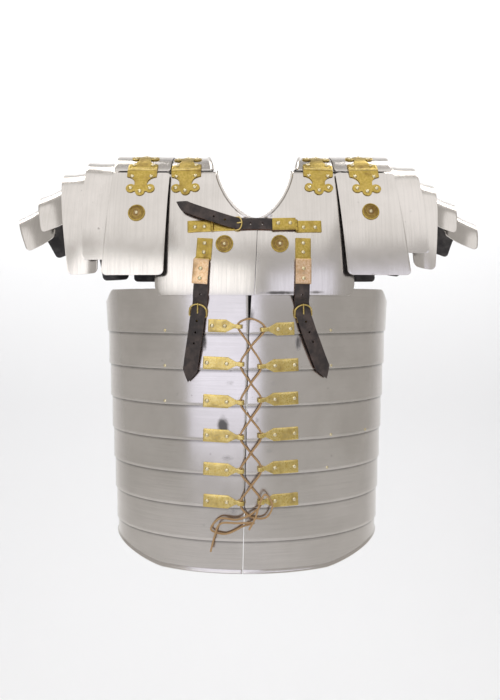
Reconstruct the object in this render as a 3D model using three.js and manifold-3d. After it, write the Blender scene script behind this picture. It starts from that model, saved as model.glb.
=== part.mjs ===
// Segmented plate armour for the trunk and shoulders, closed at the front with a lace and three
// buckled straps. Millimetres, +X to the right as seen from the front, -Y forwards, +Z up.
// The origin lies between the shoulders, level with the underside of the collar plates at their
// highest point, where the armour rests on its wearer.

import * as THREE from 'three';
import { mergeVertices } from 'three/addons/utils/BufferGeometryUtils.js';
import Module from 'manifold-3d';

const wasm = await Module();
wasm.setup();

// Driving dimensions
const steelThickness = 1.2;
const seatGap = 0.4;
const touchGap = 0.3;
const brassThickness = 1;
const leatherThickness = 2.5;

const footLevel = -191;
const collarApex = 1.2;
const hingeLevel = -27;
const hingeSlit = 2.5;

const yokeShift = 7;
const chestHalfWidth = 224;
const chestDepth = 154;
const breastTopWidth = 118;
const breastFootWidth = 128;
const neckHalfWidth = 46;
const neckWideningAtApex = 15;
const neckFrontDrop = 67;
const neckBackDrop = 48;
const neckLip = { width: 4, height: 1.6 };
const junction = { top: 4, bottom: 0, halfGap: 0.3 };

const girdleShift = -3.5;
const hoopLevels = [-239, -284, -329, -373, -415, -457, -500, -541];
const hoopOverlap = 20;
const hoopNesting = 1.7;
const girdleTop = { level: -182, halfWidth: 202, halfDepth: 150.3 };
const firstHoopFoot = { halfWidth: 199, halfDepth: 149 };
const hoopStep = { halfWidth: 2.25, halfDepth: 2 };
const armDip = { depth: 15, from: 0.9, to: 0.985 };
const hemRise = { height: 20, from: 0.57, power: 1.3 };
const frontSeam = { top: 4.7, bottom: -3.4, bottomLevel: -500, halfGap: 0.4, wedge: 2.1 };
const backSeamHalfGap = 0.5;
const hoopColumns = 16;

const guardCornerCut = 5;
const guardSeatShare = 0.65;
const guardSag = 4;
const upperGuardDepth = 139.5;
const guardSeatGap = 0.36;

// Outer edge of each shoulder plate, from the neck outwards: distance from the middle plane at
// its foot and at its highest point, height there, half depth, and the level of its two feet.
const guardEdges = {
  left: [
    { footOut: 188, apexOut: 177, apexZ: 4.5, depth: 130, endZ: -165 },
    { footOut: 215, apexOut: 219, apexZ: -3.5, depth: 122, endZ: -145 },
    { footOut: 234, apexOut: 255, apexZ: -20, depth: 113, endZ: -164 },
    { footOut: 276, apexOut: 290.5, apexZ: -52, depth: 100, endZ: -107 },
    { footOut: 298, apexOut: 321, apexZ: -81, depth: 85, endZ: -131.5 },
  ],
  right: [
    { footOut: 206, apexOut: 186.5, apexZ: 3.5, depth: 130, endZ: -165 },
    { footOut: 232, apexOut: 225.5, apexZ: -10.6, depth: 122, endZ: -137 },
    { footOut: 241, apexOut: 254, apexZ: -35, depth: 113, endZ: -158 },
    { footOut: 276, apexOut: 285, apexZ: -60.6, depth: 100, endZ: -108 },
    { footOut: 307.5, apexOut: 316, apexZ: -88, depth: 85, endZ: -129.5 },
  ],
};

// Inner edge of the upper guard, beside the neck.
const guardNeckEdges = {
  left: { footOut: 108, apexOut: 102.5 },
  right: { footOut: 124.5, apexOut: 110 },
};
const guardNeckApex = collarApex + seatGap + steelThickness;

const rivet = { radius: 1.9, height: 1.3, sides: 5 };
const barrelRadius = 1.7;
const lobateHinge = {
  width: 39, waist: 17, shoulder: 12, waistAt: 22, length: 34, lobe: 6, lobeSpread: 12.5, lobeDrop: 29.5,
};
const strapHingeRadius = 1.8;
const bossRadius = 11.2;
const bossSides = 12;

const hook = {
  height: 16, nose: 10, tabHeight: 5, tabReach: 11, curl: 2.8, lip: 8.2, corner: 0.7, root: 2,
  frontRivet: 11, rearRivet: 5,
};
const hookTilt = THREE.MathUtils.degToRad(2);
const laceDiameter = 2.4;

const girdleStrapWidth = 18.6;
const breastStrapWidth = 14.4;
const wire = 2.2;

const archSize = { halfDepth: 130, height: 192, bends: 18 };

const finishes = {
  steel: { color: 0xb3ada4, roughness: 0.32, metalness: 1 },
  brass: { color: 0xb99a45, roughness: 0.38, metalness: 1 },
  leather: { color: 0x3d332f, roughness: 0.7, metalness: 0 },
  lace: { color: 0x9c6e42, roughness: 0.85, metalness: 0 },
};

const armour = new THREE.Group();
const girdleGroup = new THREE.Group();
const yokeGroup = new THREE.Group();
girdleGroup.position.x = girdleShift;
yokeGroup.position.x = yokeShift;
armour.add(girdleGroup, yokeGroup);

const lerp = THREE.MathUtils.lerp;
const sides = [
  { name: 'left', sign: -1 },
  { name: 'right', sign: 1 },
];

function addPiece(parent, name, geometry, finish) {
  const mesh = new THREE.Mesh(geometry, new THREE.MeshStandardMaterial(finishes[finish]));
  mesh.name = name;
  parent.add(mesh);
  return mesh;
}

// Closed geometries become solids that can be joined and cut, and turn back into geometries.
function toSolid(geometry) {
  const bare = geometry.index ? geometry.toNonIndexed() : geometry.clone();
  bare.deleteAttribute('normal');
  bare.deleteAttribute('uv');
  const merged = mergeVertices(bare, 1e-3);
  return new wasm.Manifold(new wasm.Mesh({
    numProp: 3,
    vertProperties: new Float32Array(merged.attributes.position.array),
    triVerts: new Uint32Array(merged.index.array),
  }));
}

function toGeometry(solid) {
  const mesh = solid.getMesh();
  const geometry = new THREE.BufferGeometry();
  geometry.setAttribute('position', new THREE.BufferAttribute(new Float32Array(mesh.vertProperties), 3));
  geometry.setIndex(new THREE.BufferAttribute(new Uint32Array(mesh.triVerts), 1));
  return geometry;
}

function placed(geometry, matrix) {
  return toSolid(geometry.clone().applyMatrix4(matrix));
}

function joined(solids) {
  return solids.reduce((whole, solid) => whole.add(solid));
}

// A frame on a curved face: x along the face, y up the face, z out of it.
function frameOn(face, u, v, stepU, stepV, lift = 0, turn = 0) {
  const origin = face(u, v);
  const along = face(u + stepU, v).sub(face(u - stepU, v)).normalize();
  const up = face(u, v + stepV).sub(face(u, v - stepV)).normalize();
  const out = new THREE.Vector3().crossVectors(along, up).normalize();
  const trueUp = new THREE.Vector3().crossVectors(out, along);
  const matrix = new THREE.Matrix4().makeBasis(along, trueUp, out);
  matrix.setPosition(origin.addScaledVector(out, lift));
  return matrix.multiply(new THREE.Matrix4().makeRotationZ(turn));
}

// Outward normals of a grid of points, seen from a point inside the armour.
function gridNormals(grid, inside) {
  const lastRow = grid.length - 1;
  const lastColumn = grid[0].length - 1;
  return grid.map((row, i) => row.map((point, j) => {
    const [before, after] = [Math.max(j - 1, 0), Math.min(j + 1, lastColumn)];
    const [below, above] = [Math.max(i - 1, 0), Math.min(i + 1, lastRow)];
    const alongRow = new THREE.Vector3().subVectors(row[after], row[before]);
    const acrossRows = new THREE.Vector3().subVectors(grid[above][j], grid[below][j]);
    const normal = alongRow.cross(acrossRows).normalize();
    const outward = new THREE.Vector3().subVectors(point, inside);
    return normal.dot(outward) < 0 ? normal.negate() : normal;
  }));
}

// A bent plate: the grid is its outer face, and the inner face lies one thickness below it.
function bentPlate(grid, inside, thickness, swell = 0) {
  const rows = grid.length;
  const columns = grid[0].length;
  const normals = gridNormals(grid, inside);
  const shifted = (amount) => grid.flatMap((row, i) => row.map(
    (point, j) => point.clone().addScaledVector(normals[i][j], amount)));
  const points = [...shifted(swell), ...shifted(-thickness - swell)];
  const index = [];
  const quad = (a, b, c, d) => index.push(a, b, c, a, c, d);
  const outer = (i, j) => i * columns + j;
  const inner = (i, j) => rows * columns + i * columns + j;
  const end = columns - 1;
  for (let i = 0; i < rows - 1; i += 1) {
    for (let j = 0; j < columns - 1; j += 1) {
      quad(outer(i, j), outer(i, j + 1), outer(i + 1, j + 1), outer(i + 1, j));
      quad(inner(i, j), inner(i + 1, j), inner(i + 1, j + 1), inner(i, j + 1));
    }
    quad(outer(i, 0), outer(i + 1, 0), inner(i + 1, 0), inner(i, 0));
    quad(outer(i + 1, end), outer(i, end), inner(i, end), inner(i + 1, end));
  }
  for (let j = 0; j < columns - 1; j += 1) {
    quad(outer(0, j + 1), outer(0, j), inner(0, j), inner(0, j + 1));
    quad(outer(rows - 1, j), outer(rows - 1, j + 1), inner(rows - 1, j + 1), inner(rows - 1, j));
  }
  return closedGeometry(points, index);
}

// Turns the faces outwards when the grid was laid the other way round.
function closedGeometry(points, index) {
  let volume = 0;
  for (let i = 0; i < index.length; i += 3) {
    const [a, b, c] = [points[index[i]], points[index[i + 1]], points[index[i + 2]]];
    volume += a.dot(new THREE.Vector3().crossVectors(b, c));
  }
  if (volume < 0) {
    index.reverse();
  }
  const geometry = new THREE.BufferGeometry().setFromPoints(points);
  geometry.setIndex(index);
  return geometry;
}

// Flat work: a shape, or an outline of corners, with z as its thickness.
function flatShape(shape, thickness) {
  return new THREE.ExtrudeGeometry(shape, { depth: thickness, bevelEnabled: false, curveSegments: 6 });
}

function flatPlate(corners, thickness) {
  return flatShape(new THREE.Shape(corners.map(([x, y]) => new THREE.Vector2(x, y))), thickness);
}

// A turned piece that stands on z = 0, from [radius, height] pairs.
function turned(profile, segments) {
  const points = profile.map(([radius, height]) => new THREE.Vector2(radius, height));
  return new THREE.LatheGeometry(points, segments).rotateX(Math.PI / 2);
}

function rivetHead() {
  const { radius, height, sides: segments } = rivet;
  return turned([[0, -0.3], [radius, -0.3], [0.6 * radius, height], [0, height]], segments);
}

const at = (x, y, z) => new THREE.Matrix4().makeTranslation(x, y, z);

// The shoulder arch: half depth and height as shares, from the front foot over the top (90
// degrees) to the rear foot (180 degrees).
const archPower = { depth: 1 / 2, rise: 4 / 3 };

function archShares(angle) {
  const forward = Math.cos(angle);
  return {
    depth: Math.sign(forward) * Math.abs(forward) ** archPower.depth,
    rise: Math.max(0, Math.sin(angle)) ** archPower.rise,
  };
}

// Angles at even distances along the arch. Every plate over the shoulder bends at these, so that
// the plates nest.
const archRows = (() => {
  const fine = 720;
  const points = [];
  for (let i = 0; i <= fine; i += 1) {
    const { depth, rise } = archShares(Math.PI * i / fine);
    points.push(new THREE.Vector2(archSize.halfDepth * depth, archSize.height * rise));
  }
  const lengths = [0];
  for (let i = 1; i <= fine; i += 1) {
    lengths.push(lengths[i - 1] + points[i].distanceTo(points[i - 1]));
  }
  const angles = [];
  for (let n = 1; n < archSize.bends; n += 1) {
    const wanted = lengths[fine] * n / archSize.bends;
    angles.push(Math.PI * lengths.findIndex((length) => length >= wanted) / fine);
  }
  return angles;
})();

// The bends between two angles. Each hinge line takes the place of the bends close to it.
function rowsBetween(from, to, margin = 0.02) {
  const hinge = archAngle(hingeLevel, guardNeckApex);
  const lines = [hinge, Math.PI - hinge];
  const kept = archRows.filter((angle) => lines.every((line) => Math.abs(angle - line) > 0.15));
  const inRange = (angle) => angle > from + margin && angle < to - margin;
  return [...kept, ...lines].sort((a, b) => a - b).filter(inRange);
}

function archAngle(level, apex) {
  return Math.asin(Math.min(1, (level - footLevel) / (apex - footLevel)) ** (1 / archPower.rise));
}

// Breastplates, collar plates and back plates all lie on one smooth trunk.
function trunkPoint(x, angle) {
  const { depth, rise } = archShares(angle);
  const halfDepth = chestDepth * Math.sqrt(1 - (x / chestHalfWidth) ** 2);
  return new THREE.Vector3(x, -halfDepth * depth, lerp(footLevel, collarApex, rise));
}

const chestFace = (x, z) => trunkPoint(x, archAngle(z, collarApex));

function junctionAt(z) {
  const top = hingeLevel - neckFrontDrop;
  return THREE.MathUtils.mapLinear(z, top, footLevel, junction.top, junction.bottom);
}

// Distance of the neck edge from the middle, from 0 at its lowest point to 1 at the hinge line.
function neckShare(z, drop, roundness) {
  const fall = THREE.MathUtils.clamp((hingeLevel - z) / drop, 0, 1);
  return (1 - fall ** roundness) ** (1 / roundness);
}

function innerEdge(sign, z, drop, roundness) {
  const share = neckShare(z, drop, roundness);
  const middle = z > hingeLevel - drop ? junction.top / 2 : junctionAt(z);
  return sign * (neckHalfWidth * share + junction.halfGap) + middle * (1 - share);
}

// One row of a breast or back plate, from its neck or middle edge out to its side edge.
function plateRow(inner, outer, angle, columns, lip) {
  const sign = Math.sign(outer);
  const row = [trunkPoint(inner, angle)];
  for (let j = 0; j <= columns; j += 1) {
    row.push(trunkPoint(lerp(inner + sign * neckLip.width, outer, j / columns), angle));
  }
  const outward = new THREE.Vector3(0, -Math.cos(angle), Math.sin(angle) ** 3).normalize();
  row[0].addScaledVector(outward, lip * neckLip.height);
  return row;
}

// Levels below which the rolled neck edge has run out.
const lipEnd = { front: -90, back: -72 };

function breastplate(sign) {
  const levels = [footLevel, -184, -170, -130, -94, -84, -70, -50, hingeLevel - hingeSlit];
  const cornerCuts = [9, 3, 0];
  const grid = levels.map((z, i) => {
    const inner = innerEdge(sign, z, neckFrontDrop, 1.6);
    const side = THREE.MathUtils.mapLinear(z, footLevel, hingeLevel, breastFootWidth, breastTopWidth);
    const outer = side - (cornerCuts[i] ?? 0);
    const lip = z > lipEnd.front ? 1 : 0;
    return plateRow(inner, sign * outer, archAngle(z, collarApex), 5, lip);
  });
  return bentPlate(grid, new THREE.Vector3(0, 0, -150), steelThickness);
}

// Collar plate over the shoulder, carried on down the back to the first hoop.
function collarPlate(sign) {
  const frontHinge = archAngle(hingeLevel, collarApex);
  const rearHinge = Math.PI - frontHinge;
  const shoulder = [frontHinge, ...rowsBetween(frontHinge, rearHinge), rearHinge].map((angle) => {
    const inner = neckHalfWidth + neckWideningAtApex * archShares(angle).rise ** 6;
    return plateRow(sign * inner, sign * breastTopWidth, angle, 4, 1);
  });
  const backLevels = [-45, -60, -70, -75, -115, -155, footLevel];
  const back = backLevels.map((z) => {
    const inner = innerEdge(sign, z, neckBackDrop, 2);
    const outer = THREE.MathUtils.mapLinear(z, hingeLevel, footLevel, breastTopWidth, breastFootWidth);
    const lip = z > lipEnd.back ? 1 : 0;
    return plateRow(inner, sign * outer, Math.PI - archAngle(z, collarApex), 4, lip);
  });
  return bentPlate([...shoulder, ...back], new THREE.Vector3(0, 0, -150), steelThickness);
}

// Domed centre, beaded groove and raised rim of an ornamental boss.
function boss() {
  const r = bossRadius;
  return turned([
    [0, -1], [r, -1], [r, 1.1], [r - 1.2, 1.9], [r - 2.6, 1.2], [3.6, 1.2], [2.5, 2.8], [0, 3.5],
  ], bossSides);
}

for (const { name, sign } of sides) {
  const bossCentre = { left: [-37.6, -126.9], right: [31.4, -126.7] }[name];
  const plate = toSolid(breastplate(sign));
  const disc = placed(boss(), frameOn(chestFace, ...bossCentre, 2, 2));
  addPiece(yokeGroup, `breastplate_${name}`, toGeometry(plate.add(disc)), 'steel');
  addPiece(yokeGroup, `collar_plate_${name}`, collarPlate(sign), 'steel');
}

// Girdle: eight hoops a side, each one tucked under the hoop above it
function hoopSize(k, z) {
  const footWidth = firstHoopFoot.halfWidth - k * hoopStep.halfWidth;
  const footDepth = firstHoopFoot.halfDepth - k * hoopStep.halfDepth;
  const topWidth = k === 0 ? girdleTop.halfWidth : footWidth + hoopStep.halfWidth - hoopNesting;
  const topDepth = k === 0 ? girdleTop.halfDepth : footDepth + hoopStep.halfDepth - hoopNesting;
  const share = (z - hoopLevels[k]) / (hoopTop(k) - hoopLevels[k]);
  return { halfWidth: lerp(footWidth, topWidth, share), halfDepth: lerp(footDepth, topDepth, share) };
}

function hoopTop(k) {
  return k === 0 ? girdleTop.level : hoopLevels[k - 1] + hoopOverlap;
}

function hoopFace(k, angle, z) {
  const { halfWidth, halfDepth } = hoopSize(k, z);
  return new THREE.Vector3(halfWidth * Math.sin(angle), -halfDepth * Math.cos(angle), z);
}

function frontSeamAt(z) {
  const { top, bottom, bottomLevel } = frontSeam;
  return THREE.MathUtils.mapLinear(z, girdleTop.level, bottomLevel, top, bottom);
}

function girthHoop(k, sign) {
  const last = hoopLevels.length - 1;
  const edge = (isTop) => {
    const row = [];
    for (let j = 0; j <= hoopColumns; j += 1) {
      const turn = Math.PI * j / hoopColumns;
      const side = Math.sin(turn);
      let z = isTop ? hoopTop(k) : hoopLevels[k];
      if (isTop && k === 0) {
        z -= armDip.depth * THREE.MathUtils.smoothstep(side, armDip.from, armDip.to);
      }
      if (!isTop && k === last) {
        z += hemRise.height * Math.max(0, (side - hemRise.from) / (1 - hemRise.from)) ** hemRise.power;
      }
      const { halfWidth } = hoopSize(k, z);
      const wedge = k === 0 && isTop ? frontSeam.wedge : 0;
      const start = Math.asin((frontSeamAt(z) + sign * (frontSeam.halfGap + wedge)) / halfWidth) * sign;
      const end = Math.PI - Math.asin(backSeamHalfGap / halfWidth);
      const angle = THREE.MathUtils.clamp(j === 0 ? start : turn, start, end);
      row.push(hoopFace(k, sign * angle, z));
    }
    return row;
  };
  return bentPlate([edge(false), edge(true)], new THREE.Vector3(0, 0, hoopLevels[k]), steelThickness);
}

hoopLevels.forEach((level, k) => {
  for (const { name, sign } of sides) {
    addPiece(girdleGroup, `girth_hoop_${name}_${k + 1}`, girthHoop(k, sign), 'steel');
  }
});

// Tie hooks: a riveted plate whose tongue curls back on itself and holds the lace
function tieHook(length) {
  const half = hook.height / 2;
  const plate = flatPlate([
    [0, -hook.tabHeight / 2], [hook.nose, -half], [length, -half],
    [length, half], [hook.nose, half], [0, hook.tabHeight / 2],
  ], brassThickness);
  const { tabReach, curl, lip, corner, root } = hook;
  const gap = curl - brassThickness;
  const bend = -tabReach + curl;
  const tip = bend + lip - curl;
  const tongue = flatPlate([
    [root, 0], [bend, 0], [-tabReach + corner, corner], [-tabReach, curl],
    [-tabReach + corner, 2 * curl - corner], [bend, 2 * curl], [tip, 2 * curl],
    [tip, 2 * curl - brassThickness], [bend, curl + gap], [bend - gap, curl], [bend, curl - gap],
    [root, brassThickness],
  ], hook.tabHeight);
  const standing = new THREE.Matrix4().makeRotationX(Math.PI / 2);
  standing.setPosition(0, hook.tabHeight / 2, 0);
  return joined([
    toSolid(plate),
    placed(tongue, standing),
    placed(rivetHead(), at(hook.frontRivet, 0, brassThickness)),
    placed(rivetHead(), at(length - hook.rearRivet, 0, brassThickness)),
  ]);
}

// Each row: heights of the left and right hook, where each plate begins, and the plate length.
const hookRows = [
  { hoop: 0, leftZ: -229, rightZ: -232.8, leftX: -18.5, rightX: 24.2, length: 32 },
  { hoop: 1, leftZ: -275.6, rightZ: -278.3, leftX: -16.1, rightX: 20.5, length: 41 },
  { hoop: 2, leftZ: -323.2, rightZ: -320.2, leftX: -16.2, rightX: 20.5, length: 41 },
  { hoop: 3, leftZ: -366.5, rightZ: -364.6, leftX: -16.2, rightX: 20.6, length: 41 },
  { hoop: 4, leftZ: -409, rightZ: -406.5, leftX: -16.2, rightX: 20.6, length: 41 },
  { hoop: 5, leftZ: -449.5, rightZ: -448.3, leftX: -16.3, rightX: 20.7, length: 41 },
];

hookRows.forEach((row, index) => {
  const solid = tieHook(row.length);
  for (const { name, sign } of sides) {
    const x = (name === 'left' ? row.leftX : row.rightX) - girdleShift;
    const z = name === 'left' ? row.leftZ : row.rightZ;
    const middle = x + sign * (row.length - hook.tabReach) / 2;
    const turn = Math.asin(middle / hoopSize(row.hoop, z).halfWidth);
    const face = (u, v) => hoopFace(row.hoop, u, v);
    const tilt = name === 'left' ? Math.PI - hookTilt : hookTilt;
    const frame = frameOn(face, turn, z, 0.01, 1, touchGap, tilt);
    frame.multiply(at(-(row.length - hook.tabReach) / 2, 0, 0));
    const mesh = addPiece(girdleGroup, `tie_hook_${name}_${index + 1}`, toGeometry(solid), 'brass');
    mesh.applyMatrix4(frame);
  }
});

// Shoulder guards
function guardEdge(edge, angle, apexZ) {
  const { depth, rise } = archShares(angle);
  const endRise = (edge.endZ - footLevel) / (edge.apexZ - footLevel);
  const out = lerp(edge.footOut, edge.apexOut, (rise - endRise) / (1 - endRise));
  return new THREE.Vector3(out, -edge.depth * depth, lerp(footLevel, apexZ, rise));
}

// A point of shoulder plate k, from its inner edge (0) to its outer edge (1). Plates 1 to 4 are
// seated under the plate before them. Distances are outwards, so both sides share this.
function guardPoint(side, k, angle, share) {
  const edge = guardEdges[side][k];
  const outer = guardEdge(edge, angle, edge.apexZ);
  if (k === 0) {
    const neck = { ...edge, ...guardNeckEdges[side], depth: upperGuardDepth };
    return guardEdge(neck, angle, guardNeckApex).lerp(outer, share);
  }
  const normal = guardNormal(side, k - 1, angle, guardSeatShare);
  const seat = guardPoint(side, k - 1, angle, guardSeatShare);
  seat.addScaledVector(normal, -(steelThickness + guardSeatGap));
  return seat.lerp(outer, share).addScaledVector(normal, -guardSag * Math.sin(Math.PI * share));
}

function guardNormal(side, k, angle, share) {
  const step = 0.01;
  const along = guardPoint(side, k, angle + step, share).sub(guardPoint(side, k, angle - step, share));
  const across = guardPoint(side, k, angle, share + step).sub(guardPoint(side, k, angle, share - step));
  return across.cross(along).normalize();
}

const mirrored = (point, sign) => new THREE.Vector3(sign * point.x, point.y, point.z);

// A shoulder plate between two angles, with its corners cut at the ends named as cut.
function guardPlate(side, sign, k, from, to, columns, cuts) {
  const middle = (share) => guardPoint(side, k, from, share);
  const cutShare = guardCornerCut / middle(0).distanceTo(middle(1));
  const cutTurn = guardCornerCut * 0.01 / middle(1).distanceTo(guardPoint(side, k, from + 0.01, 1));
  const rows = rowsBetween(from, to, 0.08).map((angle) => ({ angle, cut: 0 }));
  rows.unshift({ angle: from, cut: cuts.start ? cutShare : 0 });
  rows.push({ angle: to, cut: cuts.end ? cutShare : 0 });
  if (cuts.start) {
    rows.splice(1, 0, { angle: from + cutTurn, cut: 0 });
  }
  if (cuts.end) {
    rows.splice(rows.length - 1, 0, { angle: to - cutTurn, cut: 0 });
  }
  const grid = rows.map(({ angle, cut }) => {
    const row = [];
    for (let j = 0; j <= columns; j += 1) {
      row.push(mirrored(guardPoint(side, k, angle, lerp(cut, 1 - cut, j / columns)), sign));
    }
    return row;
  });
  const inside = mirrored(guardPoint(side, k, Math.PI / 2, 0.5), sign);
  inside.z = -150;
  return bentPlate(grid, inside, steelThickness);
}

function guardFootAngle(side, k) {
  const { endZ, apexZ } = guardEdges[side][k];
  return archAngle(endZ, apexZ);
}

const guardBosses = { left: [144, -85.4], right: [156, -83.5] };
const upperGuardHinge = archAngle(hingeLevel, guardNeckApex);

// The share across the upper guard at a given distance out and level.
function upperGuardPlace(side, out, z) {
  const angle = archAngle(z, guardNeckApex);
  const inner = guardPoint(side, 0, angle, 0).x;
  const outer = guardPoint(side, 0, angle, 1).x;
  return [angle, (out - inner) / (outer - inner)];
}

for (const { name, sign } of sides) {
  const foot = guardFootAngle(name, 0);
  const slit = archAngle(hingeLevel - hingeSlit, guardNeckApex);
  const front = toSolid(guardPlate(name, sign, 0, foot, slit, 2, { start: true }));
  const face = (u, v) => mirrored(guardPoint(name, 0, v, u), sign);
  const [angle, share] = upperGuardPlace(name, ...guardBosses[name]);
  const disc = placed(boss(), frameOn(face, share, angle, sign * 0.02, 0.01));
  addPiece(armour, `upper_guard_front_${name}`, toGeometry(front.add(disc)), 'steel');
  const top = guardPlate(name, sign, 0, upperGuardHinge, Math.PI - foot, 2, { start: true, end: true });
  addPiece(armour, `upper_guard_top_${name}`, top, 'steel');
  for (let k = 1; k < guardEdges[name].length; k += 1) {
    const from = guardFootAngle(name, k);
    const plate = guardPlate(name, sign, k, from, Math.PI - from, 2, { start: true, end: true });
    addPiece(armour, `lesser_guard_${name}_${k}`, plate, 'steel');
  }
}

// Lobate hinges: two waisted leaves with three riveted lobes each, on one barrel. Places on a leaf
// are distances across the shoulder face and along its arch, both from the middle of the pin.
function archFrames(face, across, hingeAngle) {
  const stride = 0.001;
  return (u, v, lift) => {
    let angle = hingeAngle;
    let travelled = 0;
    while (travelled < Math.abs(v)) {
      const next = angle + Math.sign(v) * stride;
      travelled += face(across, next).distanceTo(face(across, angle));
      angle = next;
    }
    return frameOn(face, across + u * face.perMillimetre, angle, face.step, stride, lift);
  };
}

// A leaf lies on the face: down the front where the way is -1, and up over the top where it is 1.
function lobateLeaf(frameAt, inside, way) {
  const { width, waist, shoulder, waistAt, lobe, lobeSpread, lobeDrop, length } = lobateHinge;
  const half = width / 2;
  const outline = [
    { along: 0, half, lift: barrelRadius },
    { along: 4, half, lift: touchGap },
    { along: shoulder, half, lift: touchGap },
    { along: lerp(shoulder, waistAt, 0.5), half: lerp(half, waist / 2, 0.7), lift: touchGap },
    { along: waistAt, half: waist / 2, lift: touchGap },
    { along: lerp(waistAt, length, 0.5), half: waist / 2, lift: touchGap },
    { along: length, half: waist / 2, lift: touchGap },
  ];
  const grid = outline.map((row) => [-1, 0, 1].map((side) => {
    const frame = frameAt(side * row.half, way * row.along, row.lift + brassThickness);
    return new THREE.Vector3().setFromMatrixPosition(frame);
  }));
  const lobes = [[-lobeSpread, lobeDrop], [0, length], [lobeSpread, lobeDrop]];
  const shoulders = [[-lobeSpread, shoulder - 1], [lobeSpread, shoulder - 1]];
  const disc = turned([[0, 0], [lobe, 0], [lobe, brassThickness], [0, brassThickness]], 7);
  const rivetLift = touchGap + brassThickness;
  return joined([
    toSolid(bentPlate(grid, inside, brassThickness)),
    ...lobes.map(([u, v]) => placed(disc, frameAt(u, way * v, touchGap))),
    ...[...lobes, ...shoulders].map(([u, v]) => placed(rivetHead(), frameAt(u, way * v, rivetLift))),
  ]);
}

function barrel(length, radius) {
  return new THREE.CylinderGeometry(radius, radius, length, 8).rotateZ(Math.PI / 2);
}

function addLobateHinge(parent, name, face, across, hingeAngle) {
  const frameAt = archFrames(face, across, hingeAngle);
  const inside = face(across, Math.PI / 2).setZ(-150);
  const solid = joined([
    lobateLeaf(frameAt, inside, -1),
    lobateLeaf(frameAt, inside, 1),
    placed(barrel(lobateHinge.width, barrelRadius), frameAt(0, 0, barrelRadius + touchGap)),
  ]);
  addPiece(parent, name, toGeometry(solid), 'brass');
}

const trunkFace = Object.assign((u, v) => trunkPoint(u, v), { step: 1, perMillimetre: 1 });
const collarHinges = { left: -89, right: 83 };
const guardHinges = { left: 139.8, right: 150 };
for (const { name, sign } of sides) {
  const collarAngle = archAngle(hingeLevel, collarApex);
  addLobateHinge(yokeGroup, `collar_hinge_${name}`, trunkFace, collarHinges[name], collarAngle);
  const [, share] = upperGuardPlace(name, guardHinges[name], hingeLevel);
  const face = (u, v) => mirrored(guardPoint(name, 0, v, u), sign);
  face.step = 0.02 * sign;
  face.perMillimetre = sign / face(0, upperGuardHinge).distanceTo(face(1, upperGuardHinge));
  addLobateHinge(armour, `guard_hinge_${name}`, face, share, upperGuardHinge);
}

// Straps, their hinged plates and their D buckles
const strapGroup = new THREE.Group();
armour.add(strapGroup);

const chestAt = (x, z) => chestFace(x - yokeShift, z).add(new THREE.Vector3(yokeShift, 0, 0));

function firstHoopAt(x, z) {
  const turn = Math.asin((x - girdleShift) / hoopSize(0, z).halfWidth);
  return hoopFace(0, turn, z).add(new THREE.Vector3(girdleShift, 0, 0));
}

// The foremost steel at a place on the front. Below the first hoop it follows their mean slope.
function frontDepth(x, z) {
  if (z > footLevel - 1) {
    return -chestAt(x, Math.max(z, footLevel)).y;
  }
  const last = hoopLevels.length - 1;
  const share = (girdleTop.level - z) / (girdleTop.level - hoopLevels[last]);
  const foot = hoopSize(last, hoopLevels[last]);
  const halfWidth = lerp(girdleTop.halfWidth, foot.halfWidth, share);
  const halfDepth = lerp(girdleTop.halfDepth, foot.halfDepth, share);
  return halfDepth * Math.sqrt(1 - ((x - girdleShift) / halfWidth) ** 2);
}

// A flat riveted plate on a curved face, its sides across and along the strap.
function plateOn(face, x, z, { across, along, lift, turn, rivets }) {
  const frame = frameOn(face, x, z, 1, 1, lift, turn);
  const blank = flatPlate([
    [-across / 2, -along / 2], [across / 2, -along / 2], [across / 2, along / 2], [-across / 2, along / 2],
  ], brassThickness);
  const heads = rivets.map(([u, v]) => {
    const place = frame.clone().multiply(at(u, v, brassThickness));
    return placed(rivetHead(), place);
  });
  return joined([placed(blank, frame), ...heads]);
}

function barrelOn(face, x, z, length, lift, turn) {
  return placed(barrel(length, strapHingeRadius), frameOn(face, x, z, 1, 1, lift, turn));
}

// A D buckle: its bar lies low under the strap, and its bow stands over the strap. Swelling it
// gives the cutter that leaves room for it in the leather.
function dBuckle({ width, length, wireSize }, swell = 0) {
  const outline = (inset) => {
    const half = width / 2 - inset;
    const bow = Math.min(half, length * 0.55);
    const shape = inset > swell ? new THREE.Path() : new THREE.Shape();
    shape.moveTo(-half, inset - wireSize / 2);
    shape.lineTo(half, inset - wireSize / 2);
    shape.lineTo(half, length - wireSize / 2 - bow);
    shape.absellipse(0, length - wireSize / 2 - bow, half, bow - inset, 0, Math.PI, false);
    return shape;
  };
  const ring = outline(-swell);
  ring.holes.push(outline(wireSize + swell));
  const tilt = Math.asin((leatherThickness + 2 * touchGap) / length);
  const frame = new THREE.Matrix4().makeRotationX(tilt).setPosition(0, 0, touchGap);
  const body = flatShape(ring, wireSize + 2 * swell).translate(0, 0, -swell);
  const tongueSize = { width: 1.8, length: length + 0.6, height: 1.4, sunk: 0.2 };
  const tongue = new THREE.BoxGeometry(
    tongueSize.width + 2 * swell, tongueSize.length + 2 * swell, tongueSize.height + 2 * swell);
  const middle = (tongueSize.length - wireSize) / 2;
  tongue.translate(0, middle, wireSize + tongueSize.height / 2 - tongueSize.sunk);
  return placed(body, frame).add(placed(tongue, frame));
}

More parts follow.
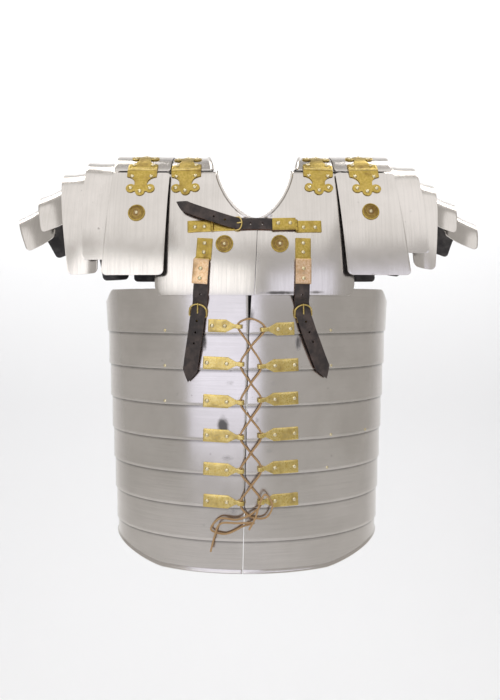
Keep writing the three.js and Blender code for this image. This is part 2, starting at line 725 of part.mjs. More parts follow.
// A strap from rows of centre, lift above the steel and half width.
function strap(rows, inside) {
  const grid = rows.map((row, i) => {
    const before = rows[Math.max(i - 1, 0)];
    const after = rows[Math.min(i + 1, rows.length - 1)];
    const along = new THREE.Vector2(after.x - before.x, after.z - before.z).normalize();
    return [1, 0, -1].map((side) => {
      const x = row.x - along.y * row.half * side;
      const z = row.z + along.x * row.half * side;
      return new THREE.Vector3(x, -(frontDepth(x, z) + row.lift + leatherThickness), z);
    });
  });
  return toSolid(bentPlate(grid, inside, leatherThickness));
}

const halfGirdleStrap = girdleStrapWidth / 2;
const girdleBuckle = { width: 24.2, length: 17.5, wireSize: wire };
const girdleStraps = {
  left: {
    upperLeaf: [-55.7, -132.9], barrelAt: [-57.4, -146], lowerLeaf: [-59.3, -161.6],
    buckleAt: [-63.4, -216.8], lean: -0.07, buckleLean: -0.09,
    route: [
      [-57.6, -149, 0.3], [-58.9, -168, 0.5], [-60.1, -187, 1.8], [-60.3, -191.8, 2.5],
      [-60.5, -197, 3], [-61.2, -202, 0.8], [-62.4, -208.5, 1.2], [-63.4, -215.5, 3.3],
      [-64.6, -222, 4.4], [-66, -234, 5], [-69, -254, 4.8], [-71.8, -272, 4], [-73.6, -285, 3.6],
    ],
    tip: [-76.5, -299.5, 3.2],
  },
  right: {
    upperLeaf: [67.3, -132.9], barrelAt: [67, -146.2], lowerLeaf: [66.6, -161.8],
    buckleAt: [67.4, -217.5], lean: -0.015, buckleLean: 0.1,
    route: [
      [66.9, -149, 0.3], [66.3, -168, 0.5], [65.7, -187, 0.9], [65.6, -191.8, 1.3],
      [65.6, -197, 3.4], [66, -202.5, 0.9], [66.7, -209, 1.2], [68.2, -216.5, 3.3],
      [70.6, -223, 4.6], [74.2, -234, 5.2], [81.2, -252, 4.8], [88, -270, 4], [93.4, -283, 3.6],
    ],
    tip: [98.3, -296, 3.2],
  },
};

function strapRows(route, tip, half) {
  const rows = route.map(([x, z, lift]) => ({ x, z, lift, half }));
  rows.push({ x: tip[0], z: tip[1], lift: tip[2], half: 0.8 });
  return rows;
}

for (const { name } of sides) {
  const plan = girdleStraps[name];
  const size = { across: girdleStrapWidth + 0.8, turn: plan.lean };
  const hinge = joined([
    plateOn(chestAt, ...plan.upperLeaf, {
      ...size, along: 26.6, lift: touchGap, rivets: [[0, 7], [0, -4.5]],
    }),
    barrelOn(chestAt, ...plan.barrelAt, size.across, 2.2, plan.lean),
    plateOn(chestAt, ...plan.lowerLeaf, {
      ...size, along: 32, lift: leatherThickness + 3 * touchGap, rivets: [[0, 3.5], [0, -8.5]],
    }),
  ]);
  addPiece(strapGroup, `girdle_strap_hinge_${name}`, toGeometry(hinge), 'brass');
  const seat = frameOn(firstHoopAt, ...plan.buckleAt, 1, 1, 0, plan.buckleLean);
  const chape = plateOn(firstHoopAt, plan.buckleAt[0], plan.buckleAt[1] - 3.6, {
    across: 15, along: 7, lift: touchGap, turn: plan.buckleLean, rivets: [[-4, -0.8], [4, -0.8]],
  });
  const buckle = dBuckle(girdleBuckle).transform(seat.elements).add(chape);
  addPiece(strapGroup, `girdle_buckle_${name}`, toGeometry(buckle), 'brass');
  const cutter = dBuckle(girdleBuckle, touchGap).transform(seat.elements);
  const leather = strap(strapRows(plan.route, plan.tip, halfGirdleStrap), new THREE.Vector3(0, 0, -200));
  addPiece(strapGroup, `girdle_strap_${name}`, toGeometry(leather.subtract(cutter)), 'leather');
}

const breastBuckle = { width: 18.8, length: 11.4, wireSize: 2 };
const besideLeft = Math.PI / 2 + 0.03;
const breastPlates = { across: breastStrapWidth + 0.6, lift: touchGap, turn: besideLeft };
const buckleFrame = frameOn(chestAt, -17.6, -102, 1, 1, 0, -Math.PI / 2 + 0.05);
const breastRoute = [
  [56.2, -103, 0.3], [40, -102.5, 0.3], [22, -101.6, 0.3], [2, -101.4, 0.3], [-5.6, -101.6, 0.4],
  [-11, -101.4, 1.2], [-17.6, -100.4, 2.9], [-26, -98, 3.9], [-44, -92, 4.6], [-62, -85.6, 5],
  [-78.6, -79, 5],
];
addPiece(strapGroup, 'breast_strap_buckle', toGeometry(joined([
  plateOn(chestAt, -61.8, -104, { ...breastPlates, along: 31.2, rivets: [[-1, 6], [-1, -6]] }),
  barrelOn(chestAt, -45.7, -103.6, breastPlates.across, 1.9, besideLeft),
  plateOn(chestAt, -31.6, -103, { ...breastPlates, along: 29.4, rivets: [] }),
  dBuckle(breastBuckle).transform(buckleFrame.elements),
])), 'brass');
addPiece(strapGroup, 'breast_strap_hinge', toGeometry(joined([
  plateOn(chestAt, 75.4, -104.6, { ...breastPlates, along: 32, rivets: [[-1, 7.5], [-1, -7.5]] }),
  barrelOn(chestAt, 59, -103.9, breastPlates.across, 2.2, besideLeft),
  plateOn(chestAt, 43.4, -102.8, {
    ...breastPlates, along: 30.6, lift: leatherThickness + 2 * touchGap + 0.1,
    rivets: [[1, 7.5], [1, -7.5]],
  }),
])), 'brass');
const breastLeather = strap(
  strapRows(breastRoute, [-92.8, -71.4, 4.6], breastStrapWidth / 2), new THREE.Vector3(0, 0, -100));
const breastCutter = dBuckle(breastBuckle, touchGap).transform(buckleFrame.elements);
addPiece(strapGroup, 'breast_strap', toGeometry(breastLeather.subtract(breastCutter)), 'leather');

// The lace: one cord from its short end at the knot, up and down the hooks, to its long end
const laceRoute = [
  [0, -149.6, -481], [8, -149.6, -466], [14, -148.9, -447], [20, -149, -437.5], [29, -145.5, -452],
  [21, -142, -468], [1, -140.8, -467], [-11, -143, -450.3], [2.3, -145.4, -429], [15.5, -144.4, -407.3],
  [2.3, -144.2, -387.4], [-10.9, -146.9, -367.3], [2.3, -149, -344.4], [15.4, -148.4, -321],
  [2.3, -148, -300], [-10.7, -150.9, -276.4], [2.4, -152.8, -254.5], [20, -151.9, -231.2],
  [2.5, -153.4, -220], [-14, -152.7, -227.4], [2.4, -149.9, -254.5], [15.4, -150.4, -279.1],
  [2.3, -150.9, -300], [-10.8, -148.9, -324], [2.3, -146.1, -344.4], [15.5, -146.4, -365.4],
  [2.3, -147.1, -387.4], [-10.9, -144.9, -409.8], [2.3, -142.5, -429], [15.6, -142.4, -449.1],
  [6, -143.8, -461], [-14, -144, -470], [-37, -140.3, -470], [-47.5, -138.2, -484], [-30, -138.8, -489.5],
  [-6, -141.6, -478.5], [6, -145.6, -474], [-14, -147.6, -473.5], [-36, -144, -475.5],
  [-43, -141.5, -492], [-48, -139.5, -511.5],
].map(([x, y, z]) => new THREE.Vector3(x, y, z));

// Steps fall at even shares of the route's points, so each bend round a hook keeps its place.
class LaceCurve extends THREE.CatmullRomCurve3 {
  getPointAt(share, target) {
    return this.getPoint(share, target);
  }

  getTangentAt(share, target) {
    return this.getTangent(share, target);
  }
}

const laceSection = new THREE.Shape();
const laceSides = 8;
for (let i = 0; i < laceSides; i += 1) {
  const angle = 2 * Math.PI * i / laceSides;
  const place = [laceDiameter / 2 * Math.cos(angle), laceDiameter / 2 * Math.sin(angle)];
  if (i === 0) {
    laceSection.moveTo(...place);
  } else {
    laceSection.lineTo(...place);
  }
}
const laceTube = new THREE.ExtrudeGeometry(laceSection, {
  steps: 2 * (laceRoute.length - 1),
  extrudePath: new LaceCurve(laceRoute),
});
addPiece(armour, 'girdle_lace', laceTube, 'lace');

export default armour;
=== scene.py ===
import math

import bmesh
import bpy
import numpy as np
from mathutils import Matrix, Vector
from mathutils.geometry import delaunay_2d_cdt


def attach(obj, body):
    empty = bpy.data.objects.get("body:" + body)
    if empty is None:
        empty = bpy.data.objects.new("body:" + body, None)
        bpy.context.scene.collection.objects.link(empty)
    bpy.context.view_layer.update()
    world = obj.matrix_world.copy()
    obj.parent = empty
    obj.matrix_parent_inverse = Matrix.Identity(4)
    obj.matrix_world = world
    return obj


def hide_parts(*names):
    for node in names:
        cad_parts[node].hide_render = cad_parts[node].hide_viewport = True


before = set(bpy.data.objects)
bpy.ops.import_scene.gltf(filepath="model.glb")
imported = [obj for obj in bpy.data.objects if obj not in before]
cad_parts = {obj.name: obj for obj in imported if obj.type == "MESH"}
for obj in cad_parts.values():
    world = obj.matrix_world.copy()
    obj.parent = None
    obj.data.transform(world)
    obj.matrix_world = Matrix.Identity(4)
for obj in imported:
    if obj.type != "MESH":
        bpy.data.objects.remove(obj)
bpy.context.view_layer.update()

# The armour is worked out in millimetres, as its maker would, and scaled when a mesh is made.
toMetres = 0.001

# Camera: level, in front, at the height of the waist strap
view = {"distance": 1015.0, "height": -203.0, "lens": 36.0, "aside": 1 / 700, "down": -45 / 700}
cameraData = bpy.data.cameras.new("camera")
cameraData.lens = view["lens"]
cameraData.sensor_width = 36.0
cameraData.shift_x = view["aside"]
cameraData.shift_y = view["down"]
camera = bpy.data.objects.new("camera", cameraData)
camera.location = (0, -view["distance"] * toMetres, view["height"] * toMetres)
camera.rotation_euler = (math.pi / 2, 0, 0)
bpy.context.scene.collection.objects.link(camera)
bpy.context.scene.camera = camera


# A value in a node tree that can be used in sums: each operator adds one Math node.
class Field:
    def __init__(self, tree, socket):
        self.tree = tree
        self.socket = socket

    def maths(self, operation, *others):
        return self.tree.maths(operation, self, *others)

    def __add__(self, other):
        return self.maths("ADD", other)

    def __radd__(self, other):
        return self.maths("ADD", other)

    def __sub__(self, other):
        return self.maths("SUBTRACT", other)

    def __rsub__(self, other):
        return self.tree.maths("SUBTRACT", other, self)

    def __mul__(self, other):
        return self.maths("MULTIPLY", other)

    def __rmul__(self, other):
        return self.maths("MULTIPLY", other)

    def __truediv__(self, other):
        return self.maths("DIVIDE", other)

    def __pow__(self, other):
        return self.maths("POWER", other)


class Tree:
    def __init__(self, nodeTree):
        self.nodeTree = nodeTree

    # Settings are set first, then the sockets get their values or links.
    def node(self, kind, settings=None, sockets=None, output=0):
        made = self.nodeTree.nodes.new(kind)
        for name, value in (settings or {}).items():
            setattr(made, name, value)
        for name, value in (sockets or {}).items():
            if isinstance(value, Field):
                self.nodeTree.links.new(value.socket, made.inputs[name])
            else:
                made.inputs[name].default_value = value
        return Field(self, made.outputs[output]) if len(made.outputs) else made

    def maths(self, operation, *values):
        return self.node("ShaderNodeMath", {"operation": operation}, dict(enumerate(values)))

    def colourMix(self, share, first, second):
        return self.node("ShaderNodeMix", {"data_type": "RGBA"}, {0: share, 6: first, 7: second}, output=2)

    def fade(self, value, start, end, low=0.0, high=1.0):
        settings = {"interpolation_type": "SMOOTHSTEP"}
        return self.node("ShaderNodeMapRange", settings, {0: value, 1: start, 2: end, 3: low, 4: high})


def startMaterial(name):
    material = bpy.data.materials.new(name)
    material.use_nodes = True
    material.node_tree.nodes.clear()
    return material, Tree(material.node_tree)


def endMaterial(tree, sockets):
    surface = tree.node("ShaderNodeBsdfPrincipled", {}, sockets)
    tree.node("ShaderNodeOutputMaterial", {}, {"Surface": surface})


def opaque(red, green, blue):
    return (red, green, blue, 1.0)


def noise(tree, place, scale, detail=3.0, roughness=0.55):
    return tree.node("ShaderNodeTexNoise", {}, {
        "Vector": place, "Scale": scale, "Detail": detail, "Roughness": roughness})


def stretched(tree, place, scale):
    return tree.node("ShaderNodeMapping", {}, {"Vector": place, "Scale": scale})


# Satin polished steel: cloudy, brushed along the plate, with specks, dark worn marks where "wear" is painted, and
# a painted shadow below each given seam
steelLook = {
    "light": opaque(0.72, 0.675, 0.63), "dark": opaque(0.62, 0.58, 0.535),
    "scuffAndShadow": opaque(0.085, 0.08, 0.078),
    "speck": opaque(0.20, 0.18, 0.165), "roughness": 0.21, "dent": 0.16, "dentDeep": 0.0016,
    "cloudScale": 11.0, "fineScale": 95.0, "speckScale": 150.0, "dentScale": 17.0,
    "shadowTall": 0.0045, "shadowEdge": 0.0004,
}
hoopBrush = (14.0, 14.0, 700.0)
guardBrush = (520.0, 12.0, 12.0)


# Painted shadow along each seam of the girdle, just below the foot of the plate above: a near-black band that
# fades downwards
def paintedSeamShadow(tree, place, seams):
    z = Field(tree, tree.node("ShaderNodeSeparateXYZ", {}, {"Vector": place}).socket.node.outputs["Z"])
    tall, edge = steelLook["shadowTall"], steelLook["shadowEdge"]
    seamShadow = 0.0
    for level in seams:
        foot = level * toMetres
        seamShadow = tree.fade(z, foot - tall, foot) * tree.fade(z, foot, foot + edge, 1.0, 0.0) + seamShadow
    return seamShadow


def steelMaterial(name, brush, seams):
    look = steelLook
    material, tree = startMaterial(name)
    place = tree.node("ShaderNodeTexCoord", output="Object")
    cloud = noise(tree, place, look["cloudScale"], 5.0, 0.6)
    fine = noise(tree, place, look["fineScale"], 4.0, 0.65)
    brushed = noise(tree, stretched(tree, place, brush), 1.0, 4.0, 0.7)
    wear = tree.node("ShaderNodeAttribute", {"attribute_name": "wear"}, output="Fac")
    smudge = tree.fade(wear * (0.5 + 1.1 * fine), 0.40, 0.92)
    specks = tree.fade(noise(tree, place, look["speckScale"], 2.0, 0.5), 0.70, 0.78)
    specks = specks * tree.fade(cloud, 0.42, 0.62)
    colour = tree.colourMix(tree.fade(cloud, 0.3, 0.72), look["dark"], look["light"])
    colour = tree.colourMix(tree.fade(brushed, 0.35, 0.8) * 0.10, colour, look["speck"])
    colour = tree.colourMix(specks * 0.55, colour, look["speck"])
    # Painted shadow under the foot of each hoop, in the same near-black colour as the worn marks
    if seams:
        seamShadow = paintedSeamShadow(tree, place, seams) * (0.35 + 0.5 * fine)
        colour = tree.colourMix(seamShadow, colour, look["scuffAndShadow"])
    colour = tree.colourMix(smudge * 0.9, colour, look["scuffAndShadow"])
    roughness = look["roughness"] + 0.10 * (cloud - 0.5) + 0.14 * (brushed - 0.5) + 0.25 * smudge
    ripple = noise(tree, place, look["dentScale"], 1.0, 0.4)
    normal = tree.node("ShaderNodeBump", {}, {
        "Strength": look["dent"], "Distance": look["dentDeep"], "Height": ripple})
    normal = tree.node("ShaderNodeBump", {}, {
        "Strength": 0.05, "Distance": 0.0004, "Height": brushed * 0.6 + fine * 0.4, "Normal": normal})
    endMaterial(tree, {"Base Color": colour, "Metallic": 1.0, "Roughness": roughness, "Normal": normal})
    return material


# The inner faces are rough steel painted near black: painted shade for the shadowed insides of the plates
innerShadeLook = {"dark": opaque(0.045, 0.042, 0.042), "light": opaque(0.13, 0.12, 0.115), "scale": 38.0}


def innerShadeMaterial():
    material, tree = startMaterial("inner_steel_painted_shade")
    place = tree.node("ShaderNodeTexCoord", output="Object")
    flake = noise(tree, place, innerShadeLook["scale"], 6.0, 0.65)
    colour = tree.colourMix(tree.fade(flake, 0.35, 0.7), innerShadeLook["dark"], innerShadeLook["light"])
    normal = tree.node("ShaderNodeBump", {}, {"Strength": 0.2, "Distance": 0.0006, "Height": flake})
    endMaterial(tree, {
        "Base Color": colour, "Metallic": 0.85, "Roughness": 0.45 + 0.2 * flake, "Normal": normal})
    return material


# Brass from golden to rosy, with brown tarnish; rivet heads are polished lighter
brassLook = {
    "golden_brass": {"deep": (0.64, 0.47, 0.14), "pale": (0.76, 0.60, 0.24), "stained": 0.75,
                     "rough": 0.28},
    "old_brass": {"deep": (0.42, 0.30, 0.062), "pale": (0.58, 0.42, 0.115), "stained": 0.85, "rough": 0.30},
    "rosy_brass": {"deep": (0.60, 0.38, 0.20), "pale": (0.76, 0.55, 0.35), "stained": 0.7, "rough": 0.30},
    "rivet_brass": {"deep": (0.66, 0.55, 0.30), "pale": (0.86, 0.78, 0.56), "stained": 0.3, "rough": 0.22},
    "dark_brass": {"deep": (0.24, 0.15, 0.055), "pale": (0.42, 0.28, 0.12), "stained": 0.8, "rough": 0.42},
}
tarnish = {"colour": opaque(0.20, 0.115, 0.035), "cloudScale": 60.0, "speckScale": 420.0}


def brassMaterial(name):
    look = brassLook[name]
    material, tree = startMaterial(name)
    place = tree.node("ShaderNodeTexCoord", output="Object")
    cloud = noise(tree, place, tarnish["cloudScale"], 5.0, 0.62)
    speck = noise(tree, place, tarnish["speckScale"], 3.0, 0.6)
    stain = tree.fade(cloud + 0.35 * speck, 0.62, 0.98)
    colour = tree.colourMix(tree.fade(speck, 0.35, 0.65), opaque(*look["deep"]), opaque(*look["pale"]))
    colour = tree.colourMix(stain * look["stained"], colour, tarnish["colour"])
    rough = look["rough"] + 0.22 * stain + 0.08 * (speck - 0.5)
    normal = tree.node("ShaderNodeBump", {}, {"Strength": 0.12, "Distance": 0.0005, "Height": speck})
    endMaterial(tree, {"Base Color": colour, "Metallic": 1.0, "Roughness": rough, "Normal": normal})
    return material


# Dark leather with a fine grain; its cut edges are raw and redder
leatherLook = {
    "strap_leather": {"dark": (0.030, 0.023, 0.021), "worn": (0.085, 0.062, 0.052), "rough": 0.62,
                      "grain": 0.35},
    "raw_leather_edge": {"dark": (0.17, 0.075, 0.045), "worn": (0.26, 0.13, 0.08), "rough": 0.8,
                         "grain": 0.5},
}


def leatherMaterial(name):
    look = leatherLook[name]
    material, tree = startMaterial(name)
    place = tree.node("ShaderNodeTexCoord", output="Object")
    cloud = noise(tree, place, 85.0, 5.0, 0.6)
    cells = tree.node("ShaderNodeTexVoronoi", {"feature": "DISTANCE_TO_EDGE"}, {
        "Vector": place, "Scale": 950.0})
    colour = tree.colourMix(tree.fade(cloud, 0.35, 0.72), opaque(*look["dark"]), opaque(*look["worn"]))
    height = tree.fade(cells, 0.0, 0.25) + 0.6 * cloud
    normal = tree.node("ShaderNodeBump", {}, {
        "Strength": look["grain"], "Distance": 0.0003, "Height": height})
    rough = look["rough"] + 0.18 * (cloud - 0.5)
    endMaterial(tree, {
        "Base Color": colour, "Roughness": rough, "Normal": normal, "Specular IOR Level": 0.4})
    return material


# Round braided thong: strands cross along its own UV map
laceLook = {
    "light": opaque(0.62, 0.41, 0.21), "dark": opaque(0.36, 0.20, 0.085), "strands": 4.0, "pitch": 2.4,
}


def laceMaterial():
    look = laceLook
    material, tree = startMaterial("tan_lace")
    place = tree.node("ShaderNodeUVMap", {"uv_map": "along"})
    split = tree.node("ShaderNodeSeparateXYZ", {}, {"Vector": place})
    around = Field(tree, split.socket.node.outputs["X"])
    along = Field(tree, split.socket.node.outputs["Y"])
    across = around * (2 * math.pi * look["strands"])
    forward = along * (2 * math.pi)
    weave = (forward + across).maths("SINE") * (forward - across).maths("SINE")
    cloud = noise(tree, tree.node("ShaderNodeTexCoord", output="Object"), 140.0, 4.0, 0.6)
    mask = tree.fade(weave + 0.8 * (cloud - 0.5), -0.9, 0.7)
    colour = tree.colourMix(mask, look["dark"], look["light"])
    normal = tree.node("ShaderNodeBump", {}, {"Strength": 0.55, "Distance": 0.0004, "Height": weave})
    endMaterial(tree, {
        "Base Color": colour, "Roughness": 0.8, "Normal": normal, "Specular IOR Level": 0.25})
    return material


guardSteel = steelMaterial("brushed_steel", guardBrush, [])
innerShade = innerShadeMaterial()
brass = brassMaterial("golden_brass")
oldBrass = brassMaterial("old_brass")
rosyBrass = brassMaterial("rosy_brass")
rivetBrass = brassMaterial("rivet_brass")
groove = brassMaterial("dark_brass")
leather = leatherMaterial("strap_leather")
rawLeather = leatherMaterial("raw_leather_edge")
lace = laceMaterial()
print("materials ready")


# Meshes
def meshFrom(name, points, faces, materials, indexes=None):
    mesh = bpy.data.meshes.new(name)
    mesh.from_pydata((np.asarray(points) * toMetres).tolist(), [], faces)
    for material in materials:
        mesh.materials.append(material)
    if indexes is not None:
        mesh.polygons.foreach_set("material_index", indexes)
    return mesh


def joinedMesh(name, meshes):
    whole = bmesh.new()
    materials = []
    for mesh in meshes:
        offset = len(materials)
        materials.extend(mesh.materials)
        known = len(whole.faces)
        whole.from_mesh(mesh)
        whole.faces.ensure_lookup_table()
        for face in whole.faces[known:]:
            face.material_index += offset
    joined = bpy.data.meshes.new(name)
    whole.to_mesh(joined)
    whole.free()
    for material in materials:
        joined.materials.append(material)
    return joined


def shown(name, mesh):
    piece = bpy.data.objects.new(name, mesh)
    bpy.context.scene.collection.objects.link(piece)
    return piece


# The evaluated object as a plain mesh; the modifiers are gone from the piece afterwards.
def settled(piece):
    evaluated = piece.evaluated_get(bpy.context.evaluated_depsgraph_get())
    mesh = bpy.data.meshes.new_from_object(evaluated)
    piece.modifiers.clear()
    return mesh


def bevelled(mesh, width):
    piece = shown("bevelled", mesh)
    bevel = piece.modifiers.new("edge", "BEVEL")
    bevel.width = width * toMetres
    bevel.segments = 2
    bevel.limit_method = "ANGLE"
    bevel.angle_limit = math.radians(50)
    made = settled(piece)
    bpy.data.objects.remove(piece)
    return made


# Wear spots on the front steel: place, size and strength, from the look of the used armour
wearColumns = ("x", "z", "wide", "tall", "dark")
wearSpots = [dict(zip(wearColumns, row)) for row in (
    (-32, -355, 9, 17, 1.0), (10, -348, 6, 10, 0.6), (-56, -250, 6, 16, 0.8), (62, -250, 6, 16, 0.8),
    (2, -215, 7, 14, 0.75), (-3, -430, 5, 26, 0.6), (-24, -300, 12, 8, 0.55), (30, -300, 12, 8, 0.5),
    (-26, -395, 14, 8, 0.6), (24, -385, 12, 8, 0.5), (-20, -462, 14, 8, 0.6), (32, -466, 12, 8, 0.5),
    (40, -188, 34, 3, 0.9), (84, -187, 18, 3, 0.7), (-60, -188, 30, 2.5, 0.5), (12, -150, 5, 24, 0.6),
    (-10, -520, 10, 12, 0.45), (66, -520, 20, 7, 0.35),
)]


def paintWear(mesh):
    points = np.empty(len(mesh.vertices) * 3)
    mesh.vertices.foreach_get("co", points)
    points = points.reshape(-1, 3) / toMetres
    wear = np.zeros(len(points))
    for spot in wearSpots:
        aside = (points[:, 0] - spot["x"]) / spot["wide"]
        above = (points[:, 2] - spot["z"]) / spot["tall"]
        wear = np.maximum(wear, spot["dark"] * np.exp(-(aside ** 2 + above ** 2)))
    wear[points[:, 1] > 0] = 0
    mesh.attributes.new("wear", "FLOAT", "POINT").data.foreach_set("value", wear.astype(np.float32))


def addPiece(name, mesh, slotName, nodes):
    mesh.name = name
    if slotName == "steel":
        paintWear(mesh)
    mesh.shade_smooth()
    mesh.set_sharp_from_angle(angle=math.radians(42))
    piece = shown(name, mesh)
    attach(piece, "root")
    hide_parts(*nodes)
    return piece


# Lace: the route is the cord's own line, in metres, as the solid part has it
laceSize = {"length": 0.915, "diameter": 0.0024, "sides": 12, "steps": 14}
laceRoute = [
    (0, -0.1496, -0.481), (0.008, -0.1496, -0.466), (0.014, -0.1489, -0.447), (0.020, -0.149, -0.4375),
    (0.029, -0.1455, -0.452), (0.021, -0.142, -0.468), (0.001, -0.1408, -0.467), (-0.011, -0.143, -0.4503),
    (0.0023, -0.1454, -0.429), (0.0155, -0.1444, -0.4073), (0.0023, -0.1442, -0.3874),
    (-0.0109, -0.1469, -0.3673),
    (0.0023, -0.149, -0.3444), (0.0154, -0.1484, -0.321), (0.0023, -0.148, -0.300),
    (-0.0107, -0.1509, -0.2764),
    (0.0024, -0.1528, -0.2545), (0.020, -0.1519, -0.2312), (0.0025, -0.1534, -0.220),
    (-0.014, -0.1527, -0.2274),
    (0.0024, -0.1499, -0.2545), (0.0154, -0.1504, -0.2791), (0.0023, -0.1509, -0.300),
    (-0.0108, -0.1489, -0.324),
    (0.0023, -0.1461, -0.3444), (0.0155, -0.1464, -0.3654), (0.0023, -0.1471, -0.3874),
    (-0.0109, -0.1449, -0.4098),
    (0.0023, -0.1425, -0.429), (0.0156, -0.1424, -0.4491), (0.006, -0.1438, -0.461),
    (-0.014, -0.144, -0.470),
    (-0.037, -0.1403, -0.470), (-0.0475, -0.1382, -0.484), (-0.030, -0.1388, -0.4895),
    (-0.006, -0.1416, -0.4785),
    (0.006, -0.1456, -0.474), (-0.014, -0.1476, -0.4735), (-0.036, -0.144, -0.4755),
    (-0.043, -0.1415, -0.492),
    (-0.048, -0.1395, -0.5115),
]


# A centripetal Catmull-Rom line through the points
def smoothLine(route, steps):
    points = [np.array(p, float) for p in route]
    points = [2 * points[0] - points[1], *points, 2 * points[-1] - points[-2]]
    line = []
    for a, b, c, d in zip(points, points[1:], points[2:], points[3:]):
        before, between, after = (math.sqrt(np.linalg.norm(q - p)) for p, q in ((a, b), (b, c), (c, d)))
        leave = between * ((b - a) / before - (c - a) / (before + between) + (c - b) / between)
        arrive = between * ((c - b) / between - (d - b) / (between + after) + (d - c) / after)
        for i in range(steps):
            t = i / steps
            line.append((2 * t ** 3 - 3 * t ** 2 + 1) * b + (t ** 3 - 2 * t ** 2 + t) * leave
                        + (3 * t ** 2 - 2 * t ** 3) * c + (t ** 3 - t ** 2) * arrive)
    line.append(points[-2])
    return np.array(line)


# A closed round tube along a line in millimetres; its UV map runs round it and along it.
def tube(name, line, radius, sides, material, closed=False, pitch=1.0):
    count = len(line)
    ahead = np.roll(line, -1, 0) - np.roll(line, 1, 0)
    if not closed:
        ahead[0], ahead[-1] = line[1] - line[0], line[-1] - line[-2]
    ahead /= np.linalg.norm(ahead, axis=1)[:, None]
    across = np.cross(ahead[0], (0.3, 1.0, 0.2))
    rings = []
    radii = np.broadcast_to(radius, count)
    for i in range(count):
        across = across - ahead[i] * across.dot(ahead[i])
        across /= np.linalg.norm(across)
        up = np.cross(ahead[i], across)
        turn = 2 * math.pi * np.arange(sides) / sides
        rings.append(line[i] + radii[i] * (np.cos(turn)[:, None] * across + np.sin(turn)[:, None] * up))
    faces = []
    for i in range(count if closed else count - 1):
        for j in range(sides):
            faces.append([i * sides + j, i * sides + (j + 1) % sides,
                          (i + 1) % count * sides + (j + 1) % sides, (i + 1) % count * sides + j])
    if not closed:
        faces.append(list(range(sides))[::-1])
        faces.append([(count - 1) * sides + j for j in range(sides)])
    mesh = meshFrom(name, np.concatenate(rings), faces, [material])
    travelled = np.concatenate([[0], np.cumsum(np.linalg.norm(np.diff(line, axis=0), axis=1))])
    layer = mesh.uv_layers.new(name="along")
    values = []
    for face in faces:
        ringSteps = [corner // sides for corner in face]
        sideSteps = [corner % sides for corner in face]
        wraps = max(sideSteps) - min(sideSteps) > sides / 2 and len(face) == 4
        for ringStep, sideStep in zip(ringSteps, sideSteps):
            around = sideStep + (sides if wraps and sideStep < sides / 2 else 0)
            values.extend([around / sides, travelled[ringStep] / pitch])
    layer.data.foreach_set("uv", values)
    return mesh


laceLine = smoothLine(laceRoute, laceSize["steps"])
laceMesh = tube("girdle_lace", laceLine / toMetres, laceSize["diameter"] / 2 / toMetres, laceSize["sides"],
                lace,
                pitch=laceLook["pitch"])
lacePiece = addPiece("girdle_lace", laceMesh, "lace", ["girdle_lace"])
print("lace ready")


# Repeats: each tree takes its sizes as named inputs and ends in Realize Instances and Set Material
def startRepeats(name, inputs):
    nodeTree = bpy.data.node_groups.new(name, "GeometryNodeTree")
    face = nodeTree.interface
    face.new_socket(name="Geometry", in_out="INPUT", socket_type="NodeSocketGeometry")
    for title, kind in inputs.items():
        face.new_socket(name=title, in_out="INPUT", socket_type=kind)
    face.new_socket(name="Geometry", in_out="OUTPUT", socket_type="NodeSocketGeometry")
    tree = Tree(nodeTree)
    entry = nodeTree.nodes.new("NodeGroupInput")
    return tree, {socket.name: Field(tree, socket) for socket in entry.outputs if socket.name}


def endRepeats(tree, geometry, material):
    geometry = tree.node("GeometryNodeRealizeInstances", {}, {"Geometry": geometry})
    geometry = tree.node("GeometryNodeSetMaterial", {}, {"Geometry": geometry, "Material": material})
    tree.node("NodeGroupOutput", {}, {"Geometry": geometry})
    return tree.nodeTree


def runTree(nodeTree, values, mesh=None):
    piece = shown("repeats", mesh or bpy.data.meshes.new("seed"))
    modifier = piece.modifiers.new("repeats", "NODES")
    modifier.node_group = nodeTree
    for socket in nodeTree.interface.items_tree:
        if socket.in_out == "INPUT" and socket.name in values:
            modifier[socket.identifier] = values[socket.name]
    made = settled(piece)
    bpy.data.objects.remove(piece)
    return made


# Domed rivets, one at each point, standing along the point's "out" direction
def rivetTree():
    tree, entry = startRepeats("rivets", {
        "Radius": "NodeSocketFloat", "Height": "NodeSocketFloat", "Material": "NodeSocketMaterial"})
    dome = tree.node("GeometryNodeMeshUVSphere", {},
                     {"Segments": 16, "Rings": 9, "Radius": entry["Radius"]})
    scale = tree.node("ShaderNodeCombineXYZ", {}, {0: 1.0, 1: 1.0, 2: entry["Height"] / entry["Radius"]})
    dome = tree.node("GeometryNodeTransform", {}, {"Geometry": dome, "Scale": scale})
    out = tree.node("GeometryNodeInputNamedAttribute", {"data_type": "FLOAT_VECTOR"}, {"Name": "out"})
    turn = tree.node("FunctionNodeAlignRotationToVector", {"axis": "Z"}, {"Vector": out})
    heads = tree.node("GeometryNodeInstanceOnPoints", {}, {
        "Points": entry["Geometry"], "Instance": dome, "Rotation": turn})
    return endRepeats(tree, heads, entry["Material"])


